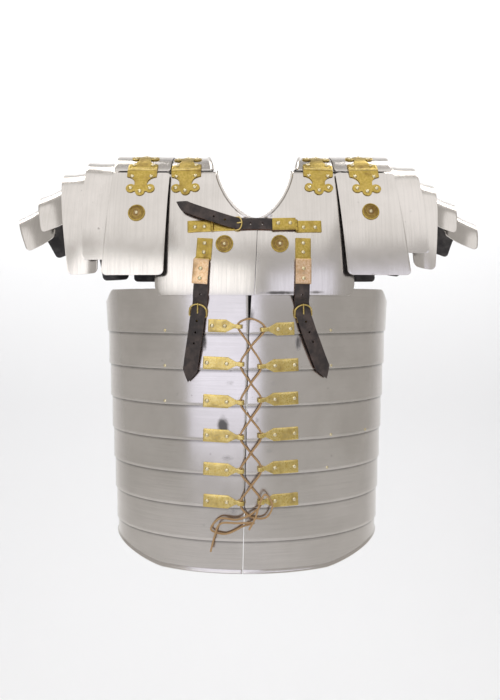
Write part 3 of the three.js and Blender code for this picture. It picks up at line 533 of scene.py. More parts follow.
# Knuckles of a hinge along X, with thin slits between them and a pin through them
def knuckleTree():
    tree, entry = startRepeats("knuckles", {
        "Length": "NodeSocketFloat", "Radius": "NodeSocketFloat", "Count": "NodeSocketInt",
        "Slit": "NodeSocketFloat",
        "Material": "NodeSocketMaterial"})
    pitch = entry["Length"] / entry["Count"]
    first = pitch * 0.5 - entry["Length"] * 0.5
    places = tree.node("GeometryNodeMeshLine", {}, {
        "Count": entry["Count"], "Start Location": tree.node("ShaderNodeCombineXYZ", {}, {0: first}),
        "Offset": tree.node("ShaderNodeCombineXYZ", {}, {0: pitch})})

    def rod(radius, length):
        made = tree.node("GeometryNodeMeshCylinder", {}, {
            "Vertices": 20, "Side Segments": 1, "Radius": radius, "Depth": length})
        return tree.node("GeometryNodeTransform", {}, {"Geometry": made, "Rotation": (0, math.pi / 2, 0)})

    knuckles = tree.node("GeometryNodeInstanceOnPoints", {}, {
        "Points": places, "Instance": rod(entry["Radius"], pitch - entry["Slit"])})
    pin = rod(entry["Radius"] * 0.72, entry["Length"])
    whole = tree.node("GeometryNodeJoinGeometry")
    join = whole.socket.node
    tree.nodeTree.links.new(knuckles.socket, join.inputs[0])
    tree.nodeTree.links.new(pin.socket, join.inputs[0])
    return endRepeats(tree, whole, entry["Material"])


# Raised flutes in a ring about Z, each one pointing outwards
def fluteTree():
    tree, entry = startRepeats("flutes", {
        "Ring Radius": "NodeSocketFloat", "Long": "NodeSocketFloat", "Wide": "NodeSocketFloat",
        "Tall": "NodeSocketFloat", "Count": "NodeSocketInt", "Height": "NodeSocketFloat",
        "Material": "NodeSocketMaterial"})
    ring = tree.node("GeometryNodeMeshCircle", {}, {"Vertices": entry["Count"],
                                                    "Radius": entry["Ring Radius"]})
    turn = tree.node("FunctionNodeAlignRotationToVector", {"axis": "X"}, {
        "Vector": tree.node("GeometryNodeInputPosition")})
    flute = tree.node("GeometryNodeMeshIcoSphere", {}, {"Subdivisions": 2, "Radius": 0.5})
    scale = tree.node("ShaderNodeCombineXYZ", {}, {0: entry["Long"], 1: entry["Wide"], 2: entry["Tall"]})
    flute = tree.node("GeometryNodeTransform", {}, {"Geometry": flute, "Scale": scale})
    flutes = tree.node("GeometryNodeInstanceOnPoints", {},
                       {"Points": ring, "Instance": flute, "Rotation": turn})
    flutes = tree.node("GeometryNodeTransform", {}, {
        "Geometry": flutes, "Translation": tree.node("ShaderNodeCombineXYZ", {}, {2: entry["Height"]})})
    return endRepeats(tree, flutes, entry["Material"])


rivetRepeats = rivetTree()
knuckleRepeats = knuckleTree()
fluteRepeats = fluteTree()


def rivets(places, radius, height):
    mesh = bpy.data.meshes.new("rivet places")
    mesh.from_pydata([tuple(np.array(point) * toMetres) for point, _ in places], [], [])
    layer = mesh.attributes.new("out", "FLOAT_VECTOR", "POINT")
    layer.data.foreach_set("vector", np.array([out for _, out in places], np.float32).ravel())
    return runTree(rivetRepeats, {
        "Radius": radius * toMetres, "Height": height * toMetres, "Material": rivetBrass}, mesh)


def moved(mesh, matrix):
    place = matrix.copy()
    place.translation = place.translation * toMetres
    mesh.transform(place)
    return mesh


def knuckles(length, radius, count, matrix, slit, material):
    made = runTree(knuckleRepeats, {
        "Length": length * toMetres, "Radius": radius * toMetres, "Count": count, "Slit": slit * toMetres,
        "Material": material})
    return moved(made, matrix)


# Surfaces of the armour, as the solid parts have them; arrays of places in, arrays of points out
yoke = {
    "shift": 7.0, "halfWidth": 224.0, "depth": 154.0, "foot": -191.0, "apex": 1.2, "hinge": -27.0,
    "slit": 2.5,
}
neck = {
    "halfWidth": 46.0, "wider": 15.0, "frontDrop": 67.0, "backDrop": 48.0, "lipWidth": 4.4,
    "lipHeight": 1.7,
    "frontRound": 1.6, "backRound": 2.0,
}
plateWidths = {"top": 118.0, "foot": 128.0}
junctionLine = {"top": 4.0, "foot": 0.0, "halfGap": 0.3}
steelThick = 1.2
brassThick = 1.0
leatherThick = 2.5
touch = 0.3
trunkMiddle = np.array((0.0, 0.0, -170.0))
trunkInside = (0, 0, -150)
rivetSize = {"radius": 2.7, "height": 1.8}


def spot(x, y, z):
    return np.stack(np.broadcast_arrays(x, y, z), -1).astype(float)


def unit(vectors):
    return vectors / np.linalg.norm(vectors, axis=-1, keepdims=True)


def archShares(angle):
    forward = np.cos(angle)
    return np.sign(forward) * np.sqrt(np.abs(forward)), np.maximum(0, np.sin(angle)) ** (4 / 3)


def archAngle(level, apex):
    foot = yoke["foot"]
    return np.arcsin(np.clip((np.asarray(level, float) - foot) / (apex - foot), 0, 1) ** 0.75)


# x is in the row frame, from the armour's own middle plane
def trunkFace(x, angle):
    depth, rise = archShares(angle)
    local = x - yoke["shift"]
    halfDepth = yoke["depth"] * np.sqrt(1 - (local / yoke["halfWidth"]) ** 2)
    return spot(x, -halfDepth * depth, yoke["foot"] + (yoke["apex"] - yoke["foot"]) * rise)


def chestFace(x, z):
    return trunkFace(x, archAngle(z, yoke["apex"]))


girdle = {
    "shift": -3.5, "levels": [-239, -284, -329, -373, -415, -457, -500, -541], "overlap": 20,
    "nesting": 1.7,
    "top": -182, "topWidth": 202, "topDepth": 150.3, "footWidth": 199, "footDepth": 149, "stepWidth": 2.25,
    "stepDepth": 2, "armDip": 15, "hemRise": 20, "seamTop": 4.7, "seamFoot": -3.4, "seamGap": 0.4,
    "wedge": 2.1,
    "backGap": 0.5, "columns": 150, "rows": 16, "hemBead": 1.3, "hemTall": 3.4, "seamFootLevel": -500,
    "meanNarrowing": 18.8, "meanShallowing": 15.3, "hemFrom": 0.57, "hemPower": 1.3, "armFrom": 0.9,
    "armTo": 0.985,
}
# The hoop steel carries the painted shadow below each seam
steel = steelMaterial("satin_steel", hoopBrush, girdle["levels"][:-1])


def hoopTop(k):
    return girdle["top"] if k == 0 else girdle["levels"][k - 1] + girdle["overlap"]


def hoopEnds(k):
    footWidth = girdle["footWidth"] - k * girdle["stepWidth"]
    footDepth = girdle["footDepth"] - k * girdle["stepDepth"]
    if k == 0:
        return footWidth, footDepth, girdle["topWidth"], girdle["topDepth"]
    return (footWidth, footDepth, footWidth + girdle["stepWidth"] - girdle["nesting"],
            footDepth + girdle["stepDepth"] - girdle["nesting"])


def hoopFace(k):
    footWidth, footDepth, topWidth, topDepth = hoopEnds(k)
    foot, top = girdle["levels"][k], hoopTop(k)

    def face(x, z):
        share = (z - foot) / (top - foot)
        wide = footWidth + (topWidth - footWidth) * share
        deep = footDepth + (topDepth - footDepth) * share
        local = x - girdle["shift"]
        return spot(x, -deep * np.sqrt(np.maximum(0, 1 - (local / wide) ** 2)), z)
    return face


# The foremost steel under a strap: the breastplate, then the hoops' mean slope
def frontFace(x, z):
    fall = (girdle["top"] - z) / (girdle["top"] - girdle["levels"][-1])
    wide = girdle["topWidth"] - girdle["meanNarrowing"] * fall
    deep = girdle["topDepth"] - girdle["meanShallowing"] * fall
    hoops = -deep * np.sqrt(1 - ((x - girdle["shift"]) / wide) ** 2)
    chest = chestFace(x, np.maximum(z, yoke["foot"]))[..., 1]
    return spot(x, np.where(z > yoke["foot"] - 1, chest, hoops), z)


# The outward direction of a face at its places
def outOf(face, u, v, stepU=0.5, stepV=0.5):
    along = face(u + stepU, v) - face(u - stepU, v)
    up = face(u, v + stepV) - face(u, v - stepV)
    out = unit(np.cross(along, up))
    away = face(u, v) - trunkMiddle
    return out * np.where((out * away).sum(-1, keepdims=True) < 0, -1, 1)


def frameOn(face, u, v, stepU, stepV, lift=0.0, turn=0.0):
    origin = face(u, v)
    along = unit(face(u + stepU, v) - face(u - stepU, v))
    up = unit(face(u, v + stepV) - face(u, v - stepV))
    out = unit(np.cross(along, up))
    rows = np.column_stack([along, np.cross(out, along), out, origin + out * lift]).tolist()
    return Matrix([*rows, [0, 0, 0, 1]]) @ Matrix.Rotation(turn, 4, "Z")


# The outward directions all over a grid, and the sense of its own rows and columns
def outward(grid, inside):
    up, along = np.gradient(grid, axis=0), np.gradient(grid, axis=1)
    out = unit(np.cross(along, up))
    sign = np.sign((out * (grid - np.array(inside))).sum(-1).mean())
    return out * sign, sign


# Plates: a grid of outer points becomes a wall one thickness deep with rounded edges
def plateFrom(name, grid, inside, thickness, materials, edge):
    rows, columns = grid.shape[:2]
    out, sign = outward(grid, inside)
    points = np.concatenate([grid.reshape(-1, 3), (grid - out * thickness).reshape(-1, 3)])
    number = np.arange(rows * columns).reshape(rows, columns)
    corners = [number[:-1, :-1], number[:-1, 1:], number[1:, 1:], number[1:, :-1]]
    outer = np.stack([corner.ravel() for corner in corners], 1)
    inner = outer[:, ::-1] + number.size
    rim = np.concatenate([number[0], number[1:, -1], number[-1, -2::-1], number[-2:0:-1, 0]])
    ahead = np.roll(rim, -1)
    walls = np.stack([ahead, rim, number.size + rim, number.size + ahead], 1)
    faces = np.concatenate([outer, inner, walls])
    if sign < 0:
        faces = faces[:, ::-1]
    indexes = np.zeros(len(faces), np.int32)
    # The inner faces take the last material: on steel plates, the painted shade
    indexes[len(outer):2 * len(outer)] = len(materials) - 1
    mesh = meshFrom(name, points, faces.tolist(), materials, indexes)
    return bevelled(mesh, edge)


def steelPlate(name, grid, inside):
    return plateFrom(name, grid, inside, steelThick, [guardSteel, innerShade], 0.3)


# Flat work such as leaves and straps: outlines in the flat, less their holes, bent onto a face by "place"
def flatWork(name, outlines, holes, thickness, place, materials, spacing=2.5, edge=0.22):
    loops = [loop if signedArea(loop) > 0 else loop[::-1] for loop in [*outlines, *holes]]
    points, faces = [], []
    for loop in loops:
        faces.append(list(range(len(points), len(points) + len(loop))))
        points.extend(loop)
    every = np.array(points)
    low, high = every.min(0), every.max(0)
    count = np.maximum(1, np.ceil((high - low) / spacing)).astype(int)
    for i in range(1, count[0]):
        for j in range(1, count[1]):
            points.append(tuple(low + (high - low) * (i / count[0], j / count[1])))
    flat, _, triangles, _, _, owners = delaunay_2d_cdt([Vector(p) for p in points], [], faces, 1, 1e-4)
    holeIndexes = set(range(len(outlines), len(loops)))
    kept = [list(t) for t, own in zip(triangles, owners) if own and not holeIndexes & set(own)]
    flat = np.array([tuple(p) for p in flat])
    seen = dict.fromkeys((a, b) for t in kept for a, b in zip(t, t[1:] + t[:1]))
    walls = [(a, b) for a, b in seen if (b, a) not in seen]
    used = sorted({corner for t in kept for corner in t})
    number = {corner: i for i, corner in enumerate(used)}
    flat = flat[used]
    size = len(used)
    top, bottom = place(flat[:, 0], flat[:, 1], thickness), place(flat[:, 0], flat[:, 1], 0.0)
    solid = [[number[c] for c in t] for t in kept]
    solid += [[size + c for c in t[::-1]] for t in solid]
    indexes = [0] * len(solid)
    for a, b in walls:
        solid.append([number[b], number[a], size + number[a], size + number[b]])
        indexes.append(len(materials) - 1)
    mesh = meshFrom(name, np.concatenate([top, bottom]), solid, materials, indexes)
    return bevelled(mesh, edge)


def signedArea(loop):
    around = zip(loop, [*loop[1:], loop[0]])
    return sum(ax * by - bx * ay for (ax, ay), (bx, by) in around) / 2


def circle(x, y, radius, sides=28):
    return [(x + radius * math.cos(2 * math.pi * i / sides), y + radius * math.sin(2 * math.pi * i / sides))
            for i in range(sides)]


def arc(x, y, radius, start, end, steps=6):
    angles = [math.radians(start + (end - start) * i / steps) for i in range(steps + 1)]
    return [(x + radius * math.cos(a), y + radius * math.sin(a)) for a in angles]


def roundedRectangle(wide, tall, radius, x=0.0, y=0.0):
    w, t = wide / 2 - radius, tall / 2 - radius
    return [*arc(x + w, y + t, radius, 0, 90), *arc(x - w, y + t, radius, 90, 180),
            *arc(x - w, y - t, radius, 180, 270), *arc(x + w, y - t, radius, 270, 360)]


# Bends flat work onto a face given by row places (x, z): turned about its own middle and lifted
def onFace(face, x, z, turn, lift):
    def place(u, v, height):
        u, v = np.asarray(u, float), np.asarray(v, float)
        across = x + u * math.cos(turn) - v * math.sin(turn)
        up = z + u * math.sin(turn) + v * math.cos(turn)
        out = outOf(face, across, up)
        above = lift(u, v) if callable(lift) else lift
        return face(across, up) + out * np.broadcast_to(np.asarray(above + height, float),
                                                        across.shape)[..., None]
    return place


def placeOf(place, u, v, height):
    point = place(np.array([u]), np.array([v]), height)[0]
    base = place(np.array([u]), np.array([v]), height - 1)[0]
    return point, unit(point - base)


# Girdle hoops: one tree bends every hoop, from its sizes at foot and top
def hoopTree():
    tree, entry = startRepeats("girdle hoop", {
        **{title: "NodeSocketFloat" for title in (
            "Foot Width", "Foot Depth", "Top Width", "Top Depth", "Foot Level", "Top Level", "Side",
            "Seam At Top",
            "Seam Slope", "Seam Gap", "Wedge", "Back Gap", "Arm Dip", "Hem Rise", "Hem Bead", "Hem Tall",
            "Shift")},
        "Columns": "NodeSocketInt", "Rows": "NodeSocketInt", "Material": "NodeSocketMaterial"})
    grid = tree.node("GeometryNodeMeshGrid", {}, {
        "Size X": 1.0, "Size Y": 1.0, "Vertices X": entry["Columns"], "Vertices Y": entry["Rows"]})
    split = tree.node("ShaderNodeSeparateXYZ", {}, {"Vector": tree.node("GeometryNodeInputPosition")}).socket.node
    turned = Field(tree, split.outputs["X"]) + 0.5
    share = Field(tree, split.outputs["Y"]) + 0.5
    side = (turned * math.pi).maths("SINE")
    hem = ((side - girdle["hemFrom"]) / (1 - girdle["hemFrom"])).maths("MAXIMUM", 0.0) ** girdle["hemPower"]
    foot = entry["Foot Level"] + entry["Hem Rise"] * hem
    top = entry["Top Level"] - entry["Arm Dip"] * tree.fade(side, girdle["armFrom"], girdle["armTo"])
    z = foot + (top - foot) * share
    along = (z - entry["Foot Level"]) / (entry["Top Level"] - entry["Foot Level"])
    bead = entry["Hem Bead"] * tree.fade((z - foot) / entry["Hem Tall"], 0.35, 1.0, 1.0, 0.0)
    wide = entry["Foot Width"] + (entry["Top Width"] - entry["Foot Width"]) * along + bead
    deep = entry["Foot Depth"] + (entry["Top Depth"] - entry["Foot Depth"]) * along + bead
    seam = entry["Seam At Top"] + (z - entry["Top Level"]) * entry["Seam Slope"]
    begin = ((seam * entry["Side"] + entry["Seam Gap"] + entry["Wedge"] * share) / wide).maths("ARCSINE")
    end = math.pi - (entry["Back Gap"] / wide).maths("ARCSINE")
    angle = begin + (end - begin) * turned
    x = wide * angle.maths("SINE") * entry["Side"] + entry["Shift"]
    y = deep * angle.maths("COSINE") * -1.0
    place = tree.node("ShaderNodeCombineXYZ", {}, {0: x, 1: y, 2: z})
    bent = tree.node("GeometryNodeSetPosition", {}, {"Geometry": grid, "Position": place})
    return endRepeats(tree, bent, entry["Material"])


hoopRepeats = hoopTree()


def seamAt(z):
    fall = (girdle["top"] - z) / (girdle["top"] - girdle["seamFootLevel"])
    return girdle["seamTop"] + (girdle["seamFoot"] - girdle["seamTop"]) * fall


# Heads of the rivets that hold the leathers inside, on the hoops where they show
leatherRivets = {0: [-106.6, 104.0], 1: [-106.9, 104.6], 2: [-107.2], 3: [105.0, 155.0], 4: [100.0]}
leatherRivetSize = {"above": 4.0, "radius": 2.0, "height": 1.1}


def girthHoop(k, side, sign):
    footWidth, footDepth, topWidth, topDepth = hoopEnds(k)
    last = k == len(girdle["levels"]) - 1
    lengths = {
        "Foot Width": footWidth, "Foot Depth": footDepth, "Top Width": topWidth, "Top Depth": topDepth,
        "Foot Level": girdle["levels"][k], "Top Level": hoopTop(k), "Seam At Top": seamAt(hoopTop(k)),
        "Seam Gap": girdle["seamGap"], "Wedge": girdle["wedge"] if k == 0 else 0,
        "Back Gap": girdle["backGap"],
        "Arm Dip": girdle["armDip"] if k == 0 else 0, "Hem Rise": girdle["hemRise"] if last else 0,
        "Hem Bead": girdle["hemBead"] if last else 0, "Hem Tall": girdle["hemTall"],
        "Shift": girdle["shift"]}
    values = {title: float(length) * toMetres for title, length in lengths.items()}
    slope = (girdle["seamTop"] - girdle["seamFoot"]) / (girdle["top"] - girdle["seamFootLevel"])
    values.update({"Side": float(sign), "Seam Slope": slope, "Columns": girdle["columns"],
                   "Rows": girdle["rows"] * (2 if last else 1), "Material": steel})
    mesh = runTree(hoopRepeats, values)
    # The hoop's inner wall takes the painted shade
    mesh.materials.append(innerShade)
    middle = mesh.polygons[len(mesh.polygons) // 2]
    if middle.normal.x * sign < 0:
        mesh.flip_normals()
    piece = shown("hoop", mesh)
    wall = piece.modifiers.new("wall", "SOLIDIFY")
    wall.thickness = steelThick * toMetres
    wall.offset = -1
    wall.material_offset = 1
    mesh = bevelled(settled(piece), 0.3)
    bpy.data.objects.remove(piece)
    face = hoopFace(k)
    places = []
    for x in leatherRivets.get(k, []):
        if x * sign > 0:
            z = girdle["levels"][k] + leatherRivetSize["above"]
            places.append((face(x, z), outOf(face, np.array([float(x)]), np.array([z]))[0]))
    if places:
        heads = rivets(places, leatherRivetSize["radius"], leatherRivetSize["height"])
        mesh = joinedMesh("hoop", [mesh, heads])
    name = f"girth_hoop_{side}_{k + 1}"
    addPiece(name, mesh, "steel", [name])


sides = {"left": -1, "right": 1}
for side, sign in sides.items():
    for k in range(len(girdle["levels"])):
        girthHoop(k, side, sign)
print("girdle ready")


# Breastplates, collars and backs share the trunk face; the neck edge carries a rolled border.
trunkPlate = {
    "cornerTop": -170.0, "corner": 9.0, "hingeCorner": 4.0, "hingeCornerTurn": 0.045, "neckSoft": 12.0,
    "neckAbove": 8.0, "joinLevel": -45.0,
}


def neckEdge(sign, z, drop, roundness):
    fall = np.clip((yoke["hinge"] - z) / drop, 0, 1)
    share = (1 - fall ** roundness) ** (1 / roundness)
    low = yoke["hinge"] - drop
    begin = yoke["hinge"] - neck["frontDrop"]
    slope = (junctionLine["foot"] - junctionLine["top"]) / (yoke["foot"] - begin)
    lineAt = junctionLine["top"] + slope * (z - begin)
    middle = np.where(z > low, junctionLine["top"] / 2, lineAt)
    return sign * (neck["halfWidth"] * share + junctionLine["halfGap"]) + middle * (1 - share) + yoke["shift"]


def awayFrom(points, line):
    nearest = np.full(points.shape[:2], 1e9)
    for a, b in zip(line[:-1], line[1:]):
        along = b - a
        share = np.clip(((points - a) @ along) / max(along @ along, 1e-9), 0, 1)
        nearest = np.minimum(nearest, np.linalg.norm(points - (a + share[..., None] * along), axis=-1))
    return nearest


def rolled(grid, line):
    out, _ = outward(grid, trunkInside)
    half = neck["lipWidth"] / 2
    rise = neck["lipHeight"] * np.sqrt(np.clip(1 - ((awayFrom(grid, line) - half) / half) ** 2, 0, 1))
    return grid + out * rise[..., None]


def trunkGrid(inner, outer, angles, sign):
    border = np.linspace(0, 1.5 * neck["lipWidth"], 13)
    rows = []
    for a, b, angle in zip(inner, outer, angles):
        start = a + sign * border[-1]
        across = np.concatenate([a + sign * border, start + (b - start) * np.linspace(0, 1, 27)[1:]])
        rows.append(trunkFace(across, np.full(len(across), angle)))
    return np.array(rows)


def breastplateMesh(sign):
    size = trunkPlate
    foot, low, top = yoke["foot"], yoke["hinge"] - neck["frontDrop"], yoke["hinge"] - yoke["slit"]
    corner, soft, below = size["cornerTop"], size["neckSoft"], low - size["neckAbove"]
    levels = np.concatenate([
        foot + (corner - foot) * np.linspace(0, 1, 13) ** 1.5, np.linspace(corner, below, 16)[1:],
        np.linspace(below, low, 12)[1:], low + soft * np.linspace(0, 1, 15)[1:] ** 2,
        np.linspace(low + soft, top, 22)[1:]])
    inner = neckEdge(sign, levels, neck["frontDrop"], neck["frontRound"])
    outer = np.interp(levels, [foot, yoke["hinge"]], [plateWidths["foot"], plateWidths["top"]])
    atFoot = np.clip((corner - levels) / (corner - foot), 0, 1)
    atHinge = np.clip(1 - (top - levels) / size["hingeCorner"], 0, 1)
    cut = size["corner"] * (1 - np.sqrt(1 - atFoot ** 2)) + size["hingeCorner"] * (1 - np.sqrt(1 - atHinge ** 2))
    outer = sign * (outer - cut) + yoke["shift"]
    grid = trunkGrid(inner, outer, archAngle(levels, yoke["apex"]), sign)
    line = grid[levels >= low - 0.01][:, 0]
    return steelPlate("breastplate", rolled(grid, line), trunkInside)


def collarMesh(sign):
    front = float(archAngle(yoke["hinge"], yoke["apex"]))
    angles = np.linspace(front, math.pi - front, 56)
    inner = neck["halfWidth"] + neck["wider"] * archShares(angles)[1] ** 6
    size = trunkPlate
    atHinge = np.clip(1 - (angles - front) / size["hingeCornerTurn"], 0, 1)
    outer = plateWidths["top"] - size["hingeCorner"] * (1 - np.sqrt(1 - atHinge ** 2))
    low = yoke["hinge"] - neck["backDrop"]
    soft, below = size["neckSoft"], low - size["neckAbove"]
    levels = np.concatenate([
        np.linspace(yoke["hinge"], low + soft, 14)[1:], low + soft * np.linspace(1, 0, 13)[1:] ** 2,
        np.linspace(low, below, 9)[1:], np.linspace(below, yoke["foot"], 20)[1:]])
    edge = neckEdge(sign, levels, neck["backDrop"], neck["backRound"])
    start = sign * inner[-1] + yoke["shift"]
    join = size["joinLevel"]
    atJoin = neckEdge(sign, np.array([join]), neck["backDrop"], neck["backRound"])[0]
    edge = np.where(levels > join, np.interp(levels, [join, yoke["hinge"]], [atJoin, start]), edge)
    backOuter = np.interp(levels, [yoke["foot"], yoke["hinge"]], [plateWidths["foot"], plateWidths["top"]])
    inner = np.concatenate([sign * inner + yoke["shift"], edge])
    outer = np.concatenate([sign * outer, sign * backOuter]) + yoke["shift"]
    every = np.concatenate([angles, math.pi - archAngle(levels, yoke["apex"])])
    grid = trunkGrid(inner, outer, every, sign)
    line = grid[:len(angles) + int((levels >= low).sum())][:, 0]
    return steelPlate("collar_plate", rolled(grid, line), trunkInside)


# Bosses: a raised rim, a dark fluted band, an inner ring and a domed rivet in the middle
bossSize = {
    "radius": 11.2, "rim": 0.95, "floor": 0.9, "base": -0.4, "ring": 5.6, "ringThick": 0.55, "rivet": 2.7,
    "rivetTall": 2.5, "flutes": 40, "fluteRing": 7.8, "fluteLong": 3.0, "fluteWide": 0.75, "fluteTall": 1.1,
    "sides": 64,
}


# Half a circle across the profile: from its outer foot, over the top, to its inner foot
def bead(radius, height, thick, material, start=0.0):
    return [(radius + thick * math.cos(a), height + thick * math.sin(a), material)
            for a in np.linspace(start, math.pi, 9)]


def bossMesh(matrix):
    size = bossSize
    floor, count = size["floor"], size["sides"]
    profile = [(size["radius"], size["base"], 0)]
    profile += bead(size["radius"] - size["rim"], floor, size["rim"], 0, -0.4)
    profile += [(radius, height, 1 if i == 0 else 0)
                for i, (radius, height, _) in enumerate(bead(size["ring"], floor, size["ringThick"], 0))]
    profile += [(size["ring"] - size["ringThick"] - 0.1, floor, 0), (size["rivet"], floor, 1)]
    profile += [(size["rivet"] * math.cos(a), floor + size["rivetTall"] * math.sin(a), 2)
                for a in np.linspace(0.1, 1.45, 8)]
    turns = 2 * math.pi * np.arange(count) / count
    rings = [np.stack([radius * np.cos(turns), radius * np.sin(turns), np.full(count, height)], 1)
             for radius, height, _ in profile]
    points = np.concatenate([*rings, [(0, 0, floor + size["rivetTall"]), (0, 0, size["base"])]])
    top, last = len(points) - 2, (len(profile) - 1) * count
    faces, indexes = [], []
    for i in range(count):
        j = (i + 1) % count
        for ring, (_, _, material) in enumerate(profile[1:]):
            low, high = ring * count, (ring + 1) * count
            faces.append([low + i, low + j, high + j, high + i])
            indexes.append(material)
        faces += [[last + i, last + j, top], [j, i, top + 1]]
        indexes += [2, 0]
    body = meshFrom("boss", points, faces, [oldBrass, groove, rivetBrass], indexes)
    flutes = runTree(fluteRepeats, {
        "Ring Radius": size["fluteRing"] * toMetres, "Long": size["fluteLong"] * toMetres,
        "Wide": size["fluteWide"] * toMetres, "Tall": size["fluteTall"] * toMetres, "Count": size["flutes"],
        "Height": floor * toMetres, "Material": oldBrass})
    return moved(joinedMesh("boss", [body, flutes]), matrix)


breastBosses = {"left": (-30.6, -126.9), "right": (38.4, -126.7)}
for side, sign in sides.items():
    addPiece(f"breastplate_{side}", breastplateMesh(sign), "steel", [f"breastplate_{side}"])
    addPiece(f"collar_plate_{side}", collarMesh(sign), "steel", [f"collar_plate_{side}"])
    bossFrame = frameOn(chestFace, *breastBosses[side], 2.0, 2.0)
    addPiece(f"breast_boss_{side}", bossMesh(bossFrame), "brass", [f"breastplate_{side}"])
print("breastplates and collars ready")


# Shoulder guards: each plate's outer edge, from the neck outwards
guardColumns = ("footOut", "apexOut", "apexZ", "depth", "endZ")
guardRows = {
    "left": [
        (188, 177, 4.5, 130, -165), (215, 219, -3.5, 122, -145), (234, 255, -20, 113, -164),
        (276, 290.5, -52, 100, -107), (298, 321, -81, 85, -131.5),
    ],
    "right": [
        (206, 186.5, 3.5, 130, -165), (232, 225.5, -10.6, 122, -137), (241, 254, -35, 113, -158),
        (276, 285, -60.6, 100, -108), (307.5, 316, -88, 85, -129.5),
    ],
}
guardEdges = {side: [dict(zip(guardColumns, row)) for row in rows] for side, rows in guardRows.items()}
guardNeck = {"left": {"footOut": 108, "apexOut": 102.5}, "right": {"footOut": 124.5, "apexOut": 110}}
guardSize = {
    "neckApex": 2.8, "depth": 139.5, "seatShare": 0.65, "seatGap": 0.36, "sag": 4.0, "corner": 6.5,
    "hingeCorner": 4.0,
    "columns": 24, "rows": 70,
}


def guardEdge(edge, angle, apexZ):
    depth, rise = archShares(angle)
    endRise = (edge["endZ"] - yoke["foot"]) / (edge["apexZ"] - yoke["foot"])
    out = edge["footOut"] + (edge["apexOut"] - edge["footOut"]) * (rise - endRise) / (1 - endRise)
    return spot(out, -edge["depth"] * depth, yoke["foot"] + (apexZ - yoke["foot"]) * rise)


# A point of plate k from its inner edge (0) to its outer edge (1); plates 1 to 4 sit under the one before.
def guardPoint(side, k, angle, share):
    edge = guardEdges[side][k]
    share = np.asarray(share, float)[..., None]
    outer = guardEdge(edge, angle, edge["apexZ"])
    if k == 0:
        inner = guardEdge({**edge, **guardNeck[side], "depth": guardSize["depth"]}, angle,
                          guardSize["neckApex"])
        return inner + (outer - inner) * share
    out = guardOut(side, k - 1, angle, guardSize["seatShare"])
    seat = guardPoint(side, k - 1, angle, guardSize["seatShare"]) - out * (steelThick + guardSize["seatGap"])
    return seat + (outer - seat) * share - out * guardSize["sag"] * np.sin(math.pi * share)


def guardOut(side, k, angle, share):
    step = 0.01
    along = guardPoint(side, k, angle + step, share) - guardPoint(side, k, angle - step, share)
    across = guardPoint(side, k, angle, share + step) - guardPoint(side, k, angle, share - step)
    return unit(np.cross(across, along))


def guardPlate(side, sign, k, start, end, corners):
    middle = guardPoint(side, k, np.array([start, start]), np.array([0.0, 1.0]))
    wide = np.linalg.norm(middle[1] - middle[0])
    nearby = guardPoint(side, k, np.array([start, start + 0.01]), np.array([1.0, 1.0]))
    perTurn = np.linalg.norm(nearby[1] - nearby[0]) / 0.01
    angles = [np.linspace(start, end, guardSize["rows"])]
    cuts = []
    for at, sense, radius in ((start, 1, corners[0]), (end, -1, corners[1])):
        turn = max(radius, 1.0) / perTurn
        angles.append(at + sense * turn * np.linspace(0, 1, 9) ** 1.6)
        cuts.append((at, turn, radius))
    angles = np.unique(np.round(np.concatenate(angles), 6))
    cut = np.zeros(len(angles))
    for at, turn, radius in cuts:
        near = np.clip(1 - np.abs(angles - at) / turn, 0, 1)
        cut += radius * (1 - np.sqrt(1 - near ** 2)) / wide
    j = np.linspace(0, 1, guardSize["columns"] + 1)
    shares = cut[:, None] + (1 - 2 * cut[:, None]) * j
    grid = guardPoint(side, k, np.broadcast_to(angles[:, None], shares.shape), shares)
    grid[..., 0] *= sign
    centre = guardPoint(side, k, np.array([math.pi / 2]), np.array([0.5]))[0]
    return steelPlate("guard", grid, (sign * centre[0], centre[1], trunkInside[2]))


def guardFace(side, sign):
    def face(share, angle):
        share, angle = np.broadcast_arrays(np.asarray(share, float), np.asarray(angle, float))
        return guardPoint(side, 0, angle, share) * np.array([sign, 1, 1])
    return face


def guardPlace(side, out, z):
    angle = float(archAngle(z, guardSize["neckApex"]))
    ends = guardPoint(side, 0, np.array([angle, angle]), np.array([0.0, 1.0]))[:, 0]
    return (out - ends[0]) / (ends[1] - ends[0]), angle, 1 / (ends[1] - ends[0])


guardBosses = {"left": (144.0, -85.4), "right": (156.0, -83.5)}
guardHingeLine = float(archAngle(yoke["hinge"], guardSize["neckApex"]))
for side, sign in sides.items():
    edges = guardEdges[side]
    feet = [float(archAngle(edge["endZ"], edge["apexZ"])) for edge in edges]
    slit = float(archAngle(yoke["hinge"] - yoke["slit"], guardSize["neckApex"]))
    corner, hingeCorner = guardSize["corner"], guardSize["hingeCorner"]
    front = guardPlate(side, sign, 0, feet[0], slit, (corner, hingeCorner))
    addPiece(f"upper_guard_front_{side}", front, "steel", [f"upper_guard_front_{side}"])
    top = guardPlate(side, sign, 0, guardHingeLine, math.pi - feet[0], (hingeCorner, corner))
    addPiece(f"upper_guard_top_{side}", top, "steel", [f"upper_guard_top_{side}"])
    for k in range(1, len(edges)):
        plate = guardPlate(side, sign, k, feet[k], math.pi - feet[k], (corner, corner))
        addPiece(f"lesser_guard_{side}_{k}", plate, "steel", [f"lesser_guard_{side}_{k}"])
    share, angle, _ = guardPlace(side, *guardBosses[side])
    bossFrame = frameOn(guardFace(side, sign), share, angle, sign * 0.02, 0.01)
    addPiece(f"guard_boss_{side}", bossMesh(bossFrame), "brass", [f"upper_guard_front_{side}"])
print("shoulder guards ready")


